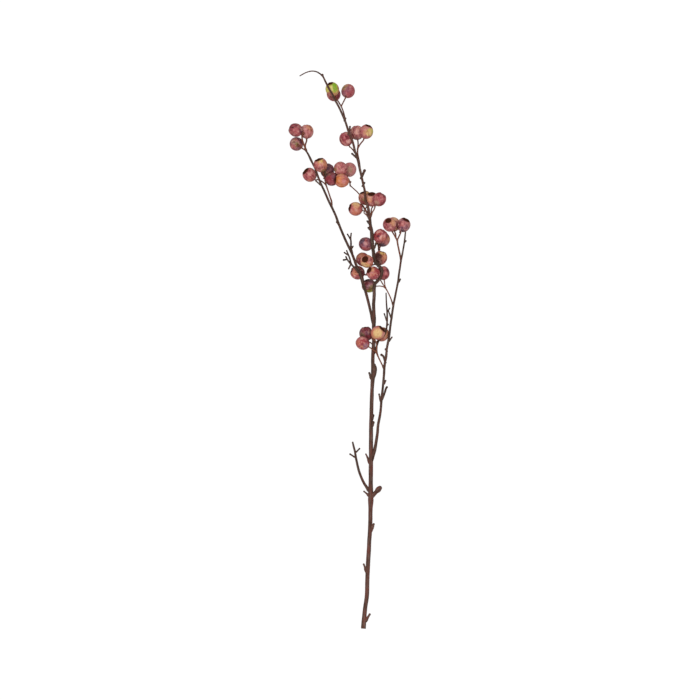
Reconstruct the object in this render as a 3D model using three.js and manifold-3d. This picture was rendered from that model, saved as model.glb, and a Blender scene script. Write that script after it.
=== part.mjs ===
// A cut hawthorn branch with berries, lying on a flat surface.
//
// Millimetres, +Z up. The branch lies along Y with its cut end at -Y, and the origin is at the
// middle of its bounding box, on the surface. Every bud, spur, fork and berry was placed by hand
// from a front picture of the branch: a route row is [column, row, height, radius], where column
// and row are the point's place in that picture in pixels, and height and radius are in mm.

import * as THREE from 'three';
import { mergeVertices } from 'three/addons/utils/BufferGeometryUtils.js';
import Module from 'manifold-3d';

const wasm = await Module();
wasm.setup();

// Size of the branch
const BRANCH_LENGTH = 798;      // cut end to crown, mm
const CROWN_ROW = 70.4;
const CUT_END_ROW = 629;
const MM_PER_PIXEL = BRANCH_LENGTH / (CUT_END_ROW - CROWN_ROW);
const ORIGIN_COLUMN = 355.5;
const ORIGIN_ROW = 349.6;

// Berries
const BERRY_RADIUS = 9.8;
const BERRY_HALF_LENGTH = 10.5;
const BERRY_SIDES = 12;
const CALYX_RADIUS = 3.9;       // of the sunken floor of the calyx
const CALYX_DEPTH = 1.6;        // below the crown of the berry

// Wood and stalks
const SEAT_GAP = 0.33;          // between a limb and what carries it
const BERRY_GAP = 0.3;          // between a stalk's end and its berry
const STALK_LEAD = 2.3;         // straight end of a stalk in front of its berry
const STEM = { sides: 8, step: 7 };
const BRANCH = { sides: 7, step: 9 };
const TWIG = { sides: 6, step: 6 };
const STUB = { sides: 5, step: 8 };
const KNOB_SPUR = { sides: 8, step: 2.4 };
const STALK = { sides: 6, step: 5 };

const BARK = { color: 0x5a443b, roughness: 0.85, metalness: 0 };
const TWIG_BARK = { color: 0x4e3a33, roughness: 0.85, metalness: 0 };
const STALK_SKIN = { color: 0x784b3c, roughness: 0.75, metalness: 0 };
const SKINS = {
  rose: { color: 0xb46466, roughness: 0.55, metalness: 0 },
  plum: { color: 0x7c4650, roughness: 0.6, metalness: 0 },
  peach: { color: 0xd2936c, roughness: 0.55, metalness: 0 },
  green: { color: 0xa9a04a, roughness: 0.55, metalness: 0 },
};

// The main stem, from the cut end to the hooked tip
const MAIN_STEM = [
  [363.4, 628.6, 3.5, 3.5], [365.1, 608.1, 4.7, 3.08], [366.8, 597.1, 5.3, 3.08],
  [367.5, 574.5, 7.0, 3.07], [368.8, 550.6, 8.7, 3.12], [369.2, 543.0, 9.2, 3.01],
  [370.2, 525.7, 10.4, 3.06], [370.5, 509.7, 11.6, 3.12], [370.8, 500.0, 12.4, 4.04],
  [370.7, 493.8, 12.8, 3.69], [370.8, 481.0, 13.8, 3.13], [370.9, 468.0, 14.7, 3.13],
  [371.0, 449.0, 16.1, 3.07], [371.0, 436.0, 17.0, 3.06], [371.1, 424.0, 17.9, 2.89],
  [371.4, 410.9, 18.8, 2.78], [371.8, 397.9, 19.8, 2.77], [372.1, 388.6, 20.5, 2.65],
  [372.6, 380.9, 21.0, 2.87], [373.3, 372.8, 21.6, 3.41], [372.8, 363.0, 22.3, 2.65],
  [373.1, 351.1, 23.2, 2.58], [373.8, 341.3, 23.9, 2.57], [373.8, 327.3, 25.0, 2.75],
  [373.9, 319.7, 25.6, 3.1], [373.8, 310.5, 26.2, 2.42], [373.6, 303.9, 26.7, 2.42],
  [374.2, 295.0, 27.3, 2.42], [374.3, 288.0, 27.8, 2.42], [375.2, 283.5, 28.1, 2.3],
  [377.1, 281.6, 28.3, 2.3], [379.7, 278.2, 28.6, 2.31], [381.2, 274.6, 28.9, 2.31],
  [381.8, 270.8, 29.1, 2.31], [380.5, 267.8, 29.3, 2.31], [378.6, 265.5, 29.4, 2.31],
  [375.8, 263.0, 29.6, 2.31], [373.9, 258.0, 30.0, 2.43], [373.4, 252.0, 30.4, 2.44],
  [372.6, 245.9, 30.9, 2.57], [371.9, 237.9, 31.5, 2.65], [371.9, 234.6, 31.7, 2.72],
  [371.3, 229.5, 32.1, 2.55], [370.3, 225.0, 32.4, 2.33], [369.7, 218.5, 32.9, 2.22],
  [368.7, 210.6, 33.5, 2.06], [367.4, 205.5, 33.9, 1.9], [365.5, 200.5, 34.4, 1.72],
  [365.1, 196.4, 34.7, 1.67], [364.5, 190.0, 35.1, 1.62], [363.4, 185.2, 35.4, 1.69],
  [361.4, 176.2, 35.9, 1.76], [360.0, 170.2, 36.3, 1.82], [358.2, 162.0, 36.8, 1.71],
  [354.6, 149.5, 37.3, 1.65], [352.8, 142.3, 37.6, 1.66], [348.7, 131.7, 37.9, 1.74],
  [345.1, 121.0, 38.1, 1.57], [341.2, 112.0, 38.3, 1.52], [337.7, 104.8, 38.4, 1.5],
  [335.2, 100.5, 38.5, 1.53], [331.7, 93.3, 38.6, 1.51], [328.6, 88.0, 38.5, 1.48],
  [325.4, 81.7, 38.4, 1.39], [322.8, 76.5, 38.0, 1.21], [319.1, 73.3, 37.7, 1.08],
  [315.5, 71.6, 37.3, 1.01], [311.1, 71.3, 36.8, 0.94], [306.6, 72.5, 36.2, 0.86],
  [303.0, 74.2, 35.6, 0.79], [299.9, 76.0, 35.0, 0.71],
];

// Spurs and buds that grow from the main stem
const MAIN_STEM_STUBS = [
  [[365.3, 621.1, 3.8, 1.7], [367.5, 618.0, 4.5, 1.65], [369.7, 614.6, 5.2, 1.4]],
  [[367.4, 573.2, 7.1, 1.85], [363.7, 564.4, 8.4, 1.15]],
  [[370.2, 532.2, 10.0, 1.7], [372.3, 527.4, 11.0, 1.9], [373.7, 524.3, 11.6, 1.26]],
  [[370.1, 496.4, 12.6, 1.55], [364.0, 491.5, 12.9, 1.08]],
  [[370.2, 463.5, 15.0, 1.55], [367.8, 458.1, 15.4, 1.4], [365.9, 454.2, 15.6, 0.98]],
  [[371.9, 425.9, 17.9, 1.61], [373.1, 422.6, 18.0, 1.15]],
  [[371.9, 418.9, 18.3, 1.49], [372.9, 415.6, 18.5, 1.15]],
  [[372.3, 379.9, 21.1, 1.76], [369.3, 373.1, 21.6, 1.24]],
  [[373.5, 377.0, 21.4, 2.2], [374.8, 371.5, 21.8, 2.1], [375.5, 367.2, 22.1, 1.5]],
  [[370.3, 224.5, 32.4, 1.24], [367.3, 221.2, 32.6, 1.01]],
  [[371.2, 230.4, 32.0, 1.24], [368.4, 227.8, 32.2, 1.01]],
  [[372.9, 249.5, 30.6, 1.4], [376.1, 244.2, 31.0, 1.08]],
  [[362.4, 186.2, 35.3, 1.33], [364.2, 183.0, 35.6, 1.13]],
  [[361.1, 178.2, 35.8, 2.02], [362.6, 175.0, 36.0, 1.94], [364.5, 170.7, 36.3, 1.86]],
  [[356.8, 158.0, 36.9, 1.61], [352.1, 153.8, 37.2, 1.24]],
  [[348.4, 134.3, 37.8, 1.43], [349.6, 130.3, 38.0, 1.33], [350.0, 126.8, 38.1, 1.16]],
  [[344.3, 120.8, 38.6, 1.24], [345.4, 118.5, 39.0, 1.13]],
  [[323.9, 78.9, 38.2, 1.16], [322.6, 74.7, 38.0, 1.13]],
];

// The round knob at the end of a short thick spur, low on the main stem
const KNOB = [
  [371.2, 497.0, 12.6, 2.9], [374.2, 494.0, 13.4, 2.75], [376.1, 492.0, 14.0, 2.8],
  [377.7, 490.4, 14.4, 3.85], [379.0, 488.9, 14.7, 3.85], [380.2, 487.6, 15.0, 2.6],
];

const LEFT_BRANCH = [
  [373.5, 323.3, 25.3, 1.79], [372.1, 316.7, 25.6, 1.95], [370.5, 310.9, 25.6, 1.95],
  [368.8, 303.9, 25.5, 2.02], [365.4, 291.1, 25.2, 2.07], [363.2, 284.7, 25.0, 2.24],
  [361.9, 278.3, 24.8, 2.69], [359.4, 271.9, 24.4, 2.46], [356.9, 266.9, 24.1, 2.02],
  [354.4, 259.9, 23.7, 1.9], [351.9, 253.5, 23.4, 1.79], [344.5, 237.8, 22.5, 1.74],
  [338.2, 222.5, 21.6, 1.79], [335.6, 215.4, 21.2, 1.68], [331.0, 205.5, 20.6, 1.79],
  [328.8, 201.2, 20.3, 1.68], [325.3, 193.2, 19.9, 1.57], [320.0, 181.7, 19.0, 1.62],
  [317.3, 174.6, 18.5, 1.57], [315.1, 168.3, 18.1, 1.46], [312.8, 163.8, 17.9, 1.46],
  [311.1, 160.2, 17.8, 1.68], [308.4, 154.6, 17.6, 1.4], [306.4, 151.3, 17.5, 1.23],
];
const LEFT_BRANCH_STUBS = [
  [[339.6, 226.0, 21.9, 1.38], [337.1, 221.9, 22.2, 0.98]],
  [[321.0, 185.1, 19.2, 1.1], [316.0, 181.1, 19.4, 0.98]],
];

const RIGHT_BRANCH = [
  [371.7, 460.5, 15.4, 1.65], [372.8, 456.0, 15.4, 2.1], [374.4, 451.0, 15.3, 2.35],
  [376.0, 442.8, 15.2, 2.15], [377.5, 433.0, 15.1, 2.04], [378.0, 425.9, 15.0, 1.93],
  [380.2, 414.1, 14.9, 1.87], [380.9, 407.7, 14.9, 1.81], [381.5, 399.4, 14.9, 1.87],
  [382.5, 390.9, 14.8, 1.76], [383.9, 375.9, 14.8, 1.76], [384.5, 366.0, 14.8, 1.81],
  [386.1, 356.3, 14.8, 1.87], [386.8, 348.8, 14.8, 1.65], [388.9, 337.7, 14.9, 1.76],
  [390.4, 325.9, 15.0, 1.59], [391.7, 316.5, 15.1, 1.65], [393.7, 303.7, 15.2, 1.54],
  [395.1, 296.9, 15.2, 1.49], [396.5, 289.6, 15.2, 1.43], [398.1, 281.4, 15.1, 1.54],
  [399.0, 273.9, 15.0, 1.43], [400.3, 265.3, 14.9, 1.43], [401.1, 259.9, 14.8, 1.49],
  [402.0, 255.8, 14.6, 1.32], [403.2, 249.5, 14.3, 1.21], [404.6, 240.7, 13.8, 1.16],
  [405.3, 233.4, 13.2, 1.04], [405.6, 229.7, 12.6, 0.94],
];
const RIGHT_BRANCH_STUBS = [
  [[380.8, 401.6, 14.9, 1.49], [379.1, 394.3, 15.2, 1.09]],
  [[382.2, 399.4, 14.9, 1.5], [384.9, 392.2, 15.1, 1.61], [386.0, 388.6, 15.2, 1.55],
    [386.9, 387.2, 15.3, 1.38]],
  [[384.0, 383.9, 14.8, 1.06], [385.6, 380.7, 14.9, 0.98]],
  [[385.5, 362.5, 14.8, 1.84], [383.3, 356.3, 14.9, 1.61], [381.5, 354.9, 15.0, 1.59]],
  [[387.1, 351.1, 14.8, 1.06], [385.1, 348.7, 15.0, 0.98]],
  [[389.0, 341.2, 14.9, 1.06], [391.9, 337.3, 15.1, 0.98]],
  [[391.5, 318.4, 15.1, 1.18], [388.2, 310.6, 15.3, 0.98]],
  [[398.9, 281.9, 15.1, 1.06], [400.3, 279.3, 15.2, 0.98]],
  [[404.1, 243.4, 13.9, 0.98], [405.9, 240.9, 14.0, 0.98]],
];

const LOWER_TWIG = [
  [369.9, 491.5, 12.9, 1.73], [368.2, 489.3, 12.7, 2.0], [364.3, 483.6, 12.0, 1.93],
  [361.2, 477.2, 11.3, 1.86], [358.9, 470.8, 10.6, 1.8], [357.3, 464.4, 10.0, 1.73],
  [356.0, 458.1, 9.4, 1.73], [355.1, 452.3, 8.8, 1.6], [353.8, 447.0, 8.4, 1.47],
  [352.7, 442.4, 8.0, 1.27],
];
const LOWER_TWIG_STUBS = [
  [[355.6, 457.7, 9.4, 1.32], [350.1, 454.2, 9.6, 1.09]],
  [[355.3, 453.0, 8.9, 1.32], [359.5, 448.7, 9.1, 1.09]],
];

const INNER_TWIG = [
  [373.8, 353.6, 22.9, 1.26], [375.5, 349.9, 21.9, 1.42], [376.8, 345.7, 21.4, 1.37],
  [378.1, 342.0, 21.2, 1.31], [379.8, 339.4, 21.1, 1.31], [383.1, 336.8, 21.1, 1.31],
  [385.3, 332.6, 21.0, 1.37], [386.5, 328.6, 21.0, 1.31], [387.1, 322.2, 20.8, 1.31],
  [387.1, 311.4, 20.4, 1.26], [386.6, 306.0, 20.2, 1.16], [386.3, 300.2, 20.0, 1.05],
  [386.1, 293.2, 19.7, 0.95],
];
const INNER_TWIG_STUBS = [
  [[386.8, 321.2, 20.8, 1.06], [384.3, 313.8, 21.0, 0.98]],
  [[387.0, 312.5, 20.5, 1.06], [389.6, 308.3, 20.6, 0.98]],
  [[386.8, 326.2, 20.9, 1.06], [388.8, 323.4, 21.0, 0.98]],
];

const LEFT_UPPER_TWIG = [
  [352.5, 255.6, 23.5, 1.23], [351.8, 251.1, 25.5, 1.4], [351.1, 247.3, 26.0, 1.34],
  [351.0, 242.4, 26.0, 1.34], [350.7, 237.9, 26.0, 1.23], [351.2, 233.4, 26.0, 1.12],
];
const LEFT_UPPER_TWIG_STUBS = [
  [[350.7, 239.6, 26.0, 1.24], [347.5, 234.3, 26.1, 0.98]],
  [[351.3, 249.1, 25.8, 1.24], [352.9, 246.4, 26.0, 0.98]],
];

const LEFT_LOWER_TWIG = [
  [359.6, 273.2, 24.8, 1.34], [357.7, 270.6, 26.2, 1.4], [354.7, 267.7, 26.2, 1.4],
  [351.6, 264.5, 25.6, 1.34], [349.7, 258.3, 25.5, 1.18], [348.2, 254.5, 25.4, 1.12],
  [346.7, 250.6, 25.4, 1.06],
];
const LEFT_LOWER_TWIG_STUBS = [
  [[347.8, 254.9, 25.4, 1.24], [344.4, 252.6, 25.5, 0.98]],
  [[350.5, 263.7, 25.6, 1.4], [347.0, 259.1, 25.7, 1.24], [345.9, 256.8, 25.7, 1.01]],
  [[347.2, 259.4, 25.7, 1.3], [343.6, 260.0, 25.8, 1.2]],
  [[350.5, 265.1, 25.6, 1.24], [348.6, 268.7, 25.6, 0.98]],
];

// Each wooden node: its own route, what grows from it, and the limb that it sits on
const WOOD = {
  main_stem: { route: MAIN_STEM, stubs: MAIN_STEM_STUBS, knob: KNOB, make: STEM },
  left_branch: { route: LEFT_BRANCH, stubs: LEFT_BRANCH_STUBS, make: BRANCH, seat: MAIN_STEM },
  right_branch: { route: RIGHT_BRANCH, stubs: RIGHT_BRANCH_STUBS, make: BRANCH, seat: MAIN_STEM },
  lower_twig: { route: LOWER_TWIG, stubs: LOWER_TWIG_STUBS, make: TWIG, seat: MAIN_STEM },
  inner_twig: { route: INNER_TWIG, stubs: INNER_TWIG_STUBS, make: TWIG, seat: MAIN_STEM },
  left_upper_twig: {
    route: LEFT_UPPER_TWIG, stubs: LEFT_UPPER_TWIG_STUBS, make: TWIG, seat: LEFT_BRANCH,
  },
  left_lower_twig: {
    route: LEFT_LOWER_TWIG, stubs: LEFT_LOWER_TWIG_STUBS, make: TWIG, seat: LEFT_BRANCH,
  },
};

// Each berry: its centre as [column, row, height], the way its calyx points with +Y toward the
// tip of the branch and +Z up, and its skin. A berry with no height lies on the surface.
const BERRIES = {
  tip_berry_1: { at: [332.3, 89.3, 28.1], calyx: [-0.3, 0.85, 0.43], skin: 'green', size: 0.98 },
  tip_berry_2: { at: [333.6, 94], calyx: [-0.45, 0.75, -0.48], skin: 'plum' },
  tip_berry_3: { at: [348.1, 91.05, 20.0], calyx: [0.28, 0.73, -0.62], skin: 'rose' },
  left_tip_berry_1: {
    at: [295.7, 130, 20.2], calyx: [-0.92, 0.36, -0.12], skin: 'rose', size: 0.98,
  },
  left_tip_berry_2: { at: [306.8, 131.6], calyx: [-0.15, 0.97, -0.15], skin: 'rose', size: 0.98 },
  left_tip_berry_3: { at: [296.4, 143.8], calyx: [-0.2, 0.14, -0.97], skin: 'plum' },
  upper_berry_1: { at: [346.2, 139, 20.0], calyx: [-0.4, 0.9, -0.2], skin: 'rose' },
  upper_berry_2: { at: [357, 132.6], calyx: [-0.1, 0.98, -0.15], skin: 'rose' },
  upper_berry_3: { at: [366.3, 131.7, 24.0], calyx: [0.31, 0.91, 0.28], skin: 'peach' },
  left_berry_1: { at: [320.5, 164.9, 24.7], calyx: [-0.32, 0.9, 0.25], skin: 'peach' },
  left_berry_2: { at: [309.6, 174.7, 12.0], calyx: [-0.7, 0.62, 0.35], skin: 'rose' },
  left_berry_3: { at: [327.3, 170.6], calyx: [0.4, 0.85, -0.3], skin: 'plum' },
  left_berry_4: { at: [332.1, 179.0, 23.6], calyx: [0.78, 0.45, -0.43], skin: 'plum', size: 0.98 },
  middle_berry_1: { at: [340.8, 168.8, 27.4], calyx: [-0.45, 0.8, -0.35], skin: 'rose' },
  middle_berry_2: { at: [349.4, 169.6], calyx: [0.31, 0.86, -0.4], skin: 'plum' },
  middle_berry_3: { at: [341.9, 180.7, 37.6], calyx: [-0.96, 0.1, 0.2], skin: 'peach' },
  centre_berry_1: { at: [365.3, 198, 10.1], calyx: [-0.35, 0.9, 0.25], skin: 'peach' },
  centre_berry_2: { at: [371.9, 199.4, 27.0], calyx: [-0.06, 0.86, 0.5], skin: 'peach' },
  centre_berry_3: { at: [379.3, 199.5, 43.3], calyx: [0.52, 0.84, -0.05], skin: 'plum', size: 0.98 },
  centre_berry_4: { at: [355.6, 208.9, 20.0], calyx: [-0.93, 0.22, 0.28], skin: 'peach' },
  right_berry_1: { at: [389.7, 224.7, 29.3], calyx: [-0.23, 0.65, 0.73], skin: 'rose' },
  right_berry_2: { at: [393.4, 224.3], calyx: [-0.15, 0.82, -0.5], skin: 'peach' },
  right_berry_3: { at: [403.5, 224.9, 23.6], calyx: [0.42, 0.84, 0.35], skin: 'rose' },
  inner_berry_1: { at: [380.25, 236.2, 27.9], calyx: [0.5, 0.82, -0.1], skin: 'rose' },
  inner_berry_2: { at: [383.1, 239.5], calyx: [0.35, 0.88, -0.3], skin: 'plum' },
  inner_berry_3: { at: [366.05, 244.1, 17.0], calyx: [-0.85, 0.3, -0.4], skin: 'plum' },
  fork_berry_1: { at: [366.9, 261.3, 37.2], calyx: [-0.3, 0.31, 0.9], skin: 'peach', size: 0.96 },
  fork_berry_2: { at: [362.8, 259.4, 14.0], calyx: [-0.3, 0.7, -0.65], skin: 'rose', size: 0.98 },
  fork_berry_3: { at: [380.4, 257.9, 20.0], calyx: [0.3, 0.93, 0.05], skin: 'plum' },
  fork_berry_4: { at: [373.3, 273.1, 33.6], calyx: [-0.66, 0.44, 0.61], skin: 'rose', size: 0.96 },
  fork_berry_5: { at: [383.1, 273.0, 16.5], calyx: [-0.15, 0.95, -0.2], skin: 'plum', size: 0.96 },
  fork_berry_6: { at: [357.6, 272.6], calyx: [-0.95, 0.26, 0.15], skin: 'peach' },
  fork_berry_7: { at: [369.0, 285.7, 12.0], calyx: [-0.9, 0.05, -0.43], skin: 'plum' },
  lower_berry_1: { at: [362.7, 343.2, 23.3], calyx: [-0.8, 0.48, -0.35], skin: 'rose', size: 0.97 },
  lower_berry_2: { at: [366.1, 333.7], calyx: [-0.1, 0.97, 0.1], skin: 'plum' },
  lower_berry_3: { at: [378, 332.7, 35.6], calyx: [0.7, 0.65, 0.3], skin: 'peach' },
  lower_berry_4: { at: [382.1, 334.4], calyx: [0.55, 0.8, -0.2], skin: 'peach' },
};

// Each group of stalks: the limb that it sits on, and its routes. A route that names a berry
// ends at that berry; the others are the shared stalks between the forks.
const STALKS = {
  tip_stalks: {
    seat: MAIN_STEM,
    routes: [
      { rows: [[345.4, 121.9, 37.4, 1.02], [344.7, 117.8, 35.5, 1.02], [343.6, 112.7, 34.0, 0.96],
        [342.2, 108.7, 32.5, 0.9], [341.2, 106.2, 31.0, 0.96]] },
      { rows: [[341.2, 106.2, 31.0, 0.9], [338.9, 102.5, 29.0, 0.9], [336.6, 98.8, 26.0, 0.9]],
        berry: 'tip_berry_1' },
      { rows: [[338.9, 102.5, 29.0, 0.84], [338.3, 101.6, 22.0, 0.84], [337.4, 100.8, 17.5, 0.84]],
        berry: 'tip_berry_2' },
      { rows: [[341.2, 106.2, 31.0, 0.9], [343.3, 102.3, 30.5, 0.9], [345.2, 98.9, 28.5, 0.9]],
        berry: 'tip_berry_3' },
    ],
  },
  left_tip_stalks: {
    routes: [
      { rows: [[306.3, 151.0, 17.5, 1.45], [306.0, 150.3, 17.5, 1.38], [305.5, 148.9, 17.4, 1.31]] },
      { rows: [[305.5, 148.9, 17.4, 1.18], [303.8, 144.3, 19.0, 1.1], [302.3, 139.6, 20.3, 1.1],
        [302.1, 135.2, 20.5, 1.03]],
      berry: 'left_tip_berry_1' },
      { rows: [[305.5, 148.9, 17.4, 1.18], [305.2, 145.7, 17.0, 1.1], [306.1, 142.3, 15.5, 1.1],
        [307.4, 139.6, 13.0, 1.03]],
      berry: 'left_tip_berry_2' },
      { rows: [[306.0, 150.3, 17.5, 1.1], [302.9, 148.7, 19.5, 1.03], [299.9, 146.4, 21.0, 1.03]],
        berry: 'left_tip_berry_3' },
    ],
  },
  upper_stalk: {
    seat: MAIN_STEM,
    routes: [
      { rows: [[355.0, 152.7, 36.2, 0.92], [352.8, 149.8, 33.5, 0.86], [350.6, 147.5, 29.0, 0.8],
        [349.4, 146.5, 25.0, 0.8]],
      berry: 'upper_berry_1' },
    ],
  },
  upper_right_stalks: {
    seat: MAIN_STEM,
    routes: [
      { rows: [[359.8, 169.2, 35.5, 1.17], [359.4, 163.2, 33.2, 1.17], [358.5, 158.4, 32.0, 1.1],
        [357.6, 153.1, 30.5, 1.04], [357.7, 148.7, 28.5, 1.04]] },
      { rows: [[357.7, 148.7, 28.5, 0.98], [358.1, 144.8, 22.0, 0.98], [358.0, 141.3, 14.5, 0.9]],
        berry: 'upper_berry_2' },
      { rows: [[357.7, 148.7, 28.5, 0.98], [360.1, 144.3, 25.5, 0.98], [362.5, 140.2, 22.0, 0.98]],
        berry: 'upper_berry_3' },
    ],
  },
  left_stalks: {
    seat: LEFT_BRANCH,
    routes: [
      { rows: [[331.4, 206.5, 20.8, 1.01], [331.7, 202.1, 22.0, 1.06], [330.3, 197.6, 22.0, 1.01],
        [328.0, 190.7, 20.5, 0.95], [325.9, 184.7, 18.5, 1.01]] },
      { rows: [[325.9, 184.7, 18.5, 0.9], [325.0, 179.9, 17.0, 0.9], [323.8, 175.3, 19.0, 0.84]],
        berry: 'left_berry_1' },
      { rows: [[325.9, 184.7, 18.5, 0.9], [323.2, 182.3, 15.5, 0.84], [319.8, 180.2, 14.5, 0.84],
        [316.8, 179.5, 11.5, 0.78]],
      berry: 'left_berry_2' },
      { rows: [[325.0, 179.9, 17.0, 0.84], [324.9, 177.7, 14.5, 0.78]], berry: 'left_berry_3' },
      { rows: [[326.9, 187.5, 19.7, 0.84], [326.0, 184.6, 23.5, 0.84]], berry: 'left_berry_4' },
    ],
  },
  middle_stalks: {
    seat: MAIN_STEM,
    routes: [
      { rows: [[368.9, 216.6, 32.8, 1.3], [366.9, 212.7, 29.5, 1.4], [364.9, 209.3, 24.5, 1.35],
        [363.2, 206.3, 15.5, 1.2], [361.2, 203.7, 4.4, 1.0], [360.3, 199.2, 1.3, 0.85],
        [359.5, 194.7, 2.4, 0.8], [357.4, 192.0, 5.0, 0.75], [354.1, 189.0, 8.5, 0.75],
        [350.2, 185.6, 12.5, 0.8]] },
      { rows: [[349.1, 182.1, 13.5, 0.75], [347.1, 178.8, 19.0, 0.7], [345.1, 176.3, 25.0, 0.7]],
        berry: 'middle_berry_1' },
      { rows: [[350.2, 185.6, 12.5, 0.8], [349.1, 182.1, 13.5, 0.75], [347.9, 178.3, 14.5, 0.75]],
        berry: 'middle_berry_2' },
      { rows: [[350.2, 185.6, 12.5, 0.8], [350.6, 184.5, 20.0, 0.75], [350.1, 182.7, 28.5, 0.75]],
        berry: 'middle_berry_3' },
      { rows: [[364.9, 209.3, 24.5, 0.8], [366.3, 207.3, 16.0, 0.75], [367.2, 205.4, 11.5, 0.7]],
        berry: 'centre_berry_1' },
    ],
  },
  centre_stalks: {
    seat: MAIN_STEM,
    routes: [
      { rows: [[370.2, 217.1, 33.3, 1.1], [371.4, 213.7, 34.5, 1.1]] },
      { rows: [[371.4, 213.7, 34.5, 0.94], [371.3, 210.6, 31.0, 0.88], [371.8, 207.9, 26.5, 0.83]],
        berry: 'centre_berry_2' },
      { rows: [[371.4, 213.7, 34.5, 0.94], [373.8, 210.0, 37.0, 0.88], [375.0, 207.1, 39.0, 0.83]],
        berry: 'centre_berry_3' },
    ],
  },
  centre_left_stalk: {
    seat: MAIN_STEM,
    routes: [
      { rows: [[370.0, 219.8, 32.6, 0.88], [366.5, 215.1, 29.0, 0.83], [364.2, 213.0, 24.5, 0.77]],
        berry: 'centre_berry_4' },
    ],
  },
  right_stalks: {
    seat: RIGHT_BRANCH,
    routes: [
      { rows: [[400.9, 260.7, 14.8, 1.15], [400.2, 255.9, 15.2, 1.22], [399.0, 250.2, 15.8, 1.15],
        [397.8, 244.5, 16.3, 1.15], [397.2, 240.2, 16.5, 1.15]] },
      { rows: [[397.2, 240.2, 16.5, 1.03], [394.8, 235.9, 18.5, 1.03], [392.3, 231.8, 21.5, 0.96]],
        berry: 'right_berry_1' },
      { rows: [[395.9, 237.9, 17.5, 0.96], [395.6, 233.9, 15.8, 0.96]], berry: 'right_berry_2' },
      { rows: [[397.2, 240.2, 16.5, 1.03], [399.0, 236.4, 18.3, 1.03], [400.8, 232.1, 21.3, 0.96]],
        berry: 'right_berry_3' },
    ],
  },
  inner_stalks: {
    seat: MAIN_STEM,
    routes: [
      { rows: [[378.9, 266.6, 28.0, 0.97], [378.8, 266.0, 16.4, 0.97], [379.2, 264.2, 10.8, 0.97],
        [379.3, 258.5, 7.9, 0.92], [379.2, 252.9, 8.9, 1.2], [379.0, 248.9, 12.0, 1.45]] },
      { rows: [[379.0, 248.9, 12.0, 1.4], [378.6, 246.4, 17.0, 1.35], [377.6, 243.9, 22.5, 1.2]],
        berry: 'inner_berry_1' },
      { rows: [[379.2, 248.9, 12.0, 0.86]], berry: 'inner_berry_2' },
      { rows: [[378.9, 266.3, 24.0, 0.81]], berry: 'fork_berry_3' },
    ],
  },
  inner_left_stalk: {
    seat: MAIN_STEM,
    routes: [
      { rows: [[372.3, 247.7, 30.5, 0.8], [372.6, 247.5, 25.5, 0.75]], berry: 'inner_berry_3' },
    ],
  },
  fork_upper_stalks: {
    seat: MAIN_STEM,
    routes: [
      { rows: [[375.4, 263.8, 29.0, 0.84], [372.8, 265.0, 26.8, 0.84], [371.4, 265.0, 25.6, 0.73]],
        berry: 'fork_berry_1' },
      { rows: [[372.8, 265.0, 26.8, 0.79], [369.5, 266.2, 23.0, 0.79], [366.6, 265.6, 21.3, 0.73]],
        berry: 'fork_berry_2' },
    ],
  },
  fork_right_stalks: {
    seat: RIGHT_BRANCH,
    routes: [
      { rows: [[393.3, 305.9, 15.2, 0.95], [392.2, 302.4, 15.8, 0.95], [391.1, 299.2, 16.3, 0.89],
        [389.2, 294.7, 16.8, 0.84], [387.3, 290.9, 17.2, 0.84], [385.4, 287.8, 17.6, 0.89]] },
      { rows: [[385.4, 287.8, 17.6, 0.79], [382.8, 284.0, 18.0, 0.79], [380.9, 280.8, 20.0, 0.79],
        [379.6, 278.2, 22.5, 0.73]],
      berry: 'fork_berry_4' },
      { rows: [[385.4, 287.8, 17.6, 0.79], [384.8, 284.3, 18.3, 0.79]], berry: 'fork_berry_5' },
      { rows: [[385.4, 287.8, 17.6, 0.79], [382.8, 286.6, 17.5, 0.79], [379.4, 286.0, 17.4, 0.73]],
        berry: 'fork_berry_7' },
    ],
  },
  fork_left_stalk: {
    seat: MAIN_STEM,
    routes: [
      { rows: [[377.1, 280.9, 27.2, 0.84], [375.2, 278.2, 23.5, 0.82], [371.5, 275.0, 17.5, 0.85],
        [367.8, 273.7, 12.0, 0.9], [366.6, 273.5, 9.9, 0.9]],
      berry: 'fork_berry_6' },
    ],
  },
  lower_stalks: {
    seat: RIGHT_BRANCH,
    routes: [
      { rows: [[384.4, 369.4, 14.8, 0.99], [383.1, 366.5, 15.3, 0.99], [381.5, 363.5, 16.2, 0.94],
        [379.1, 358.7, 18.2, 0.94], [377.5, 355.4, 21.8, 0.94], [376.3, 352.4, 25.3, 0.94]] },
      { rows: [[376.3, 352.4, 25.3, 0.88], [374.5, 350.7, 26.9, 0.88], [372.3, 349.4, 27.2, 0.83]],
        berry: 'lower_berry_1' },
      { rows: [[376.3, 352.4, 25.3, 0.88], [376.6, 348.2, 27.0, 0.88], [376.5, 344.2, 29.0, 0.83],
        [375.5, 341.0, 31.8, 0.83]],
      berry: 'lower_berry_3' },
      { rows: [[379.1, 358.7, 18.2, 0.94], [377.5, 354.1, 17.5, 0.88], [376.8, 350.6, 16.8, 0.88]] },
      { rows: [[376.8, 350.6, 16.8, 0.83], [374.7, 347.4, 16.2, 0.83], [372.4, 344.5, 15.0, 0.83],
        [369.7, 342.2, 12.3, 0.77]],
      berry: 'lower_berry_2' },
      { rows: [[376.8, 350.6, 16.8, 0.83], [377.1, 346.2, 15.0, 0.83], [377.8, 342.7, 12.8, 0.77]],
        berry: 'lower_berry_4' },
    ],
  },
};

/** The point in mm of a place in the picture at a height above the surface. */
function place([column, row, height]) {
  return new THREE.Vector3(
    (column - ORIGIN_COLUMN) * MM_PER_PIXEL,
    (ORIGIN_ROW - row) * MM_PER_PIXEL,
    height,
  );
}

/** The point and radius of each row of a route. */
function routePoints(rows) {
  return rows.map((row) => ({ point: place(row), radius: row[3] }));
}

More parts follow.
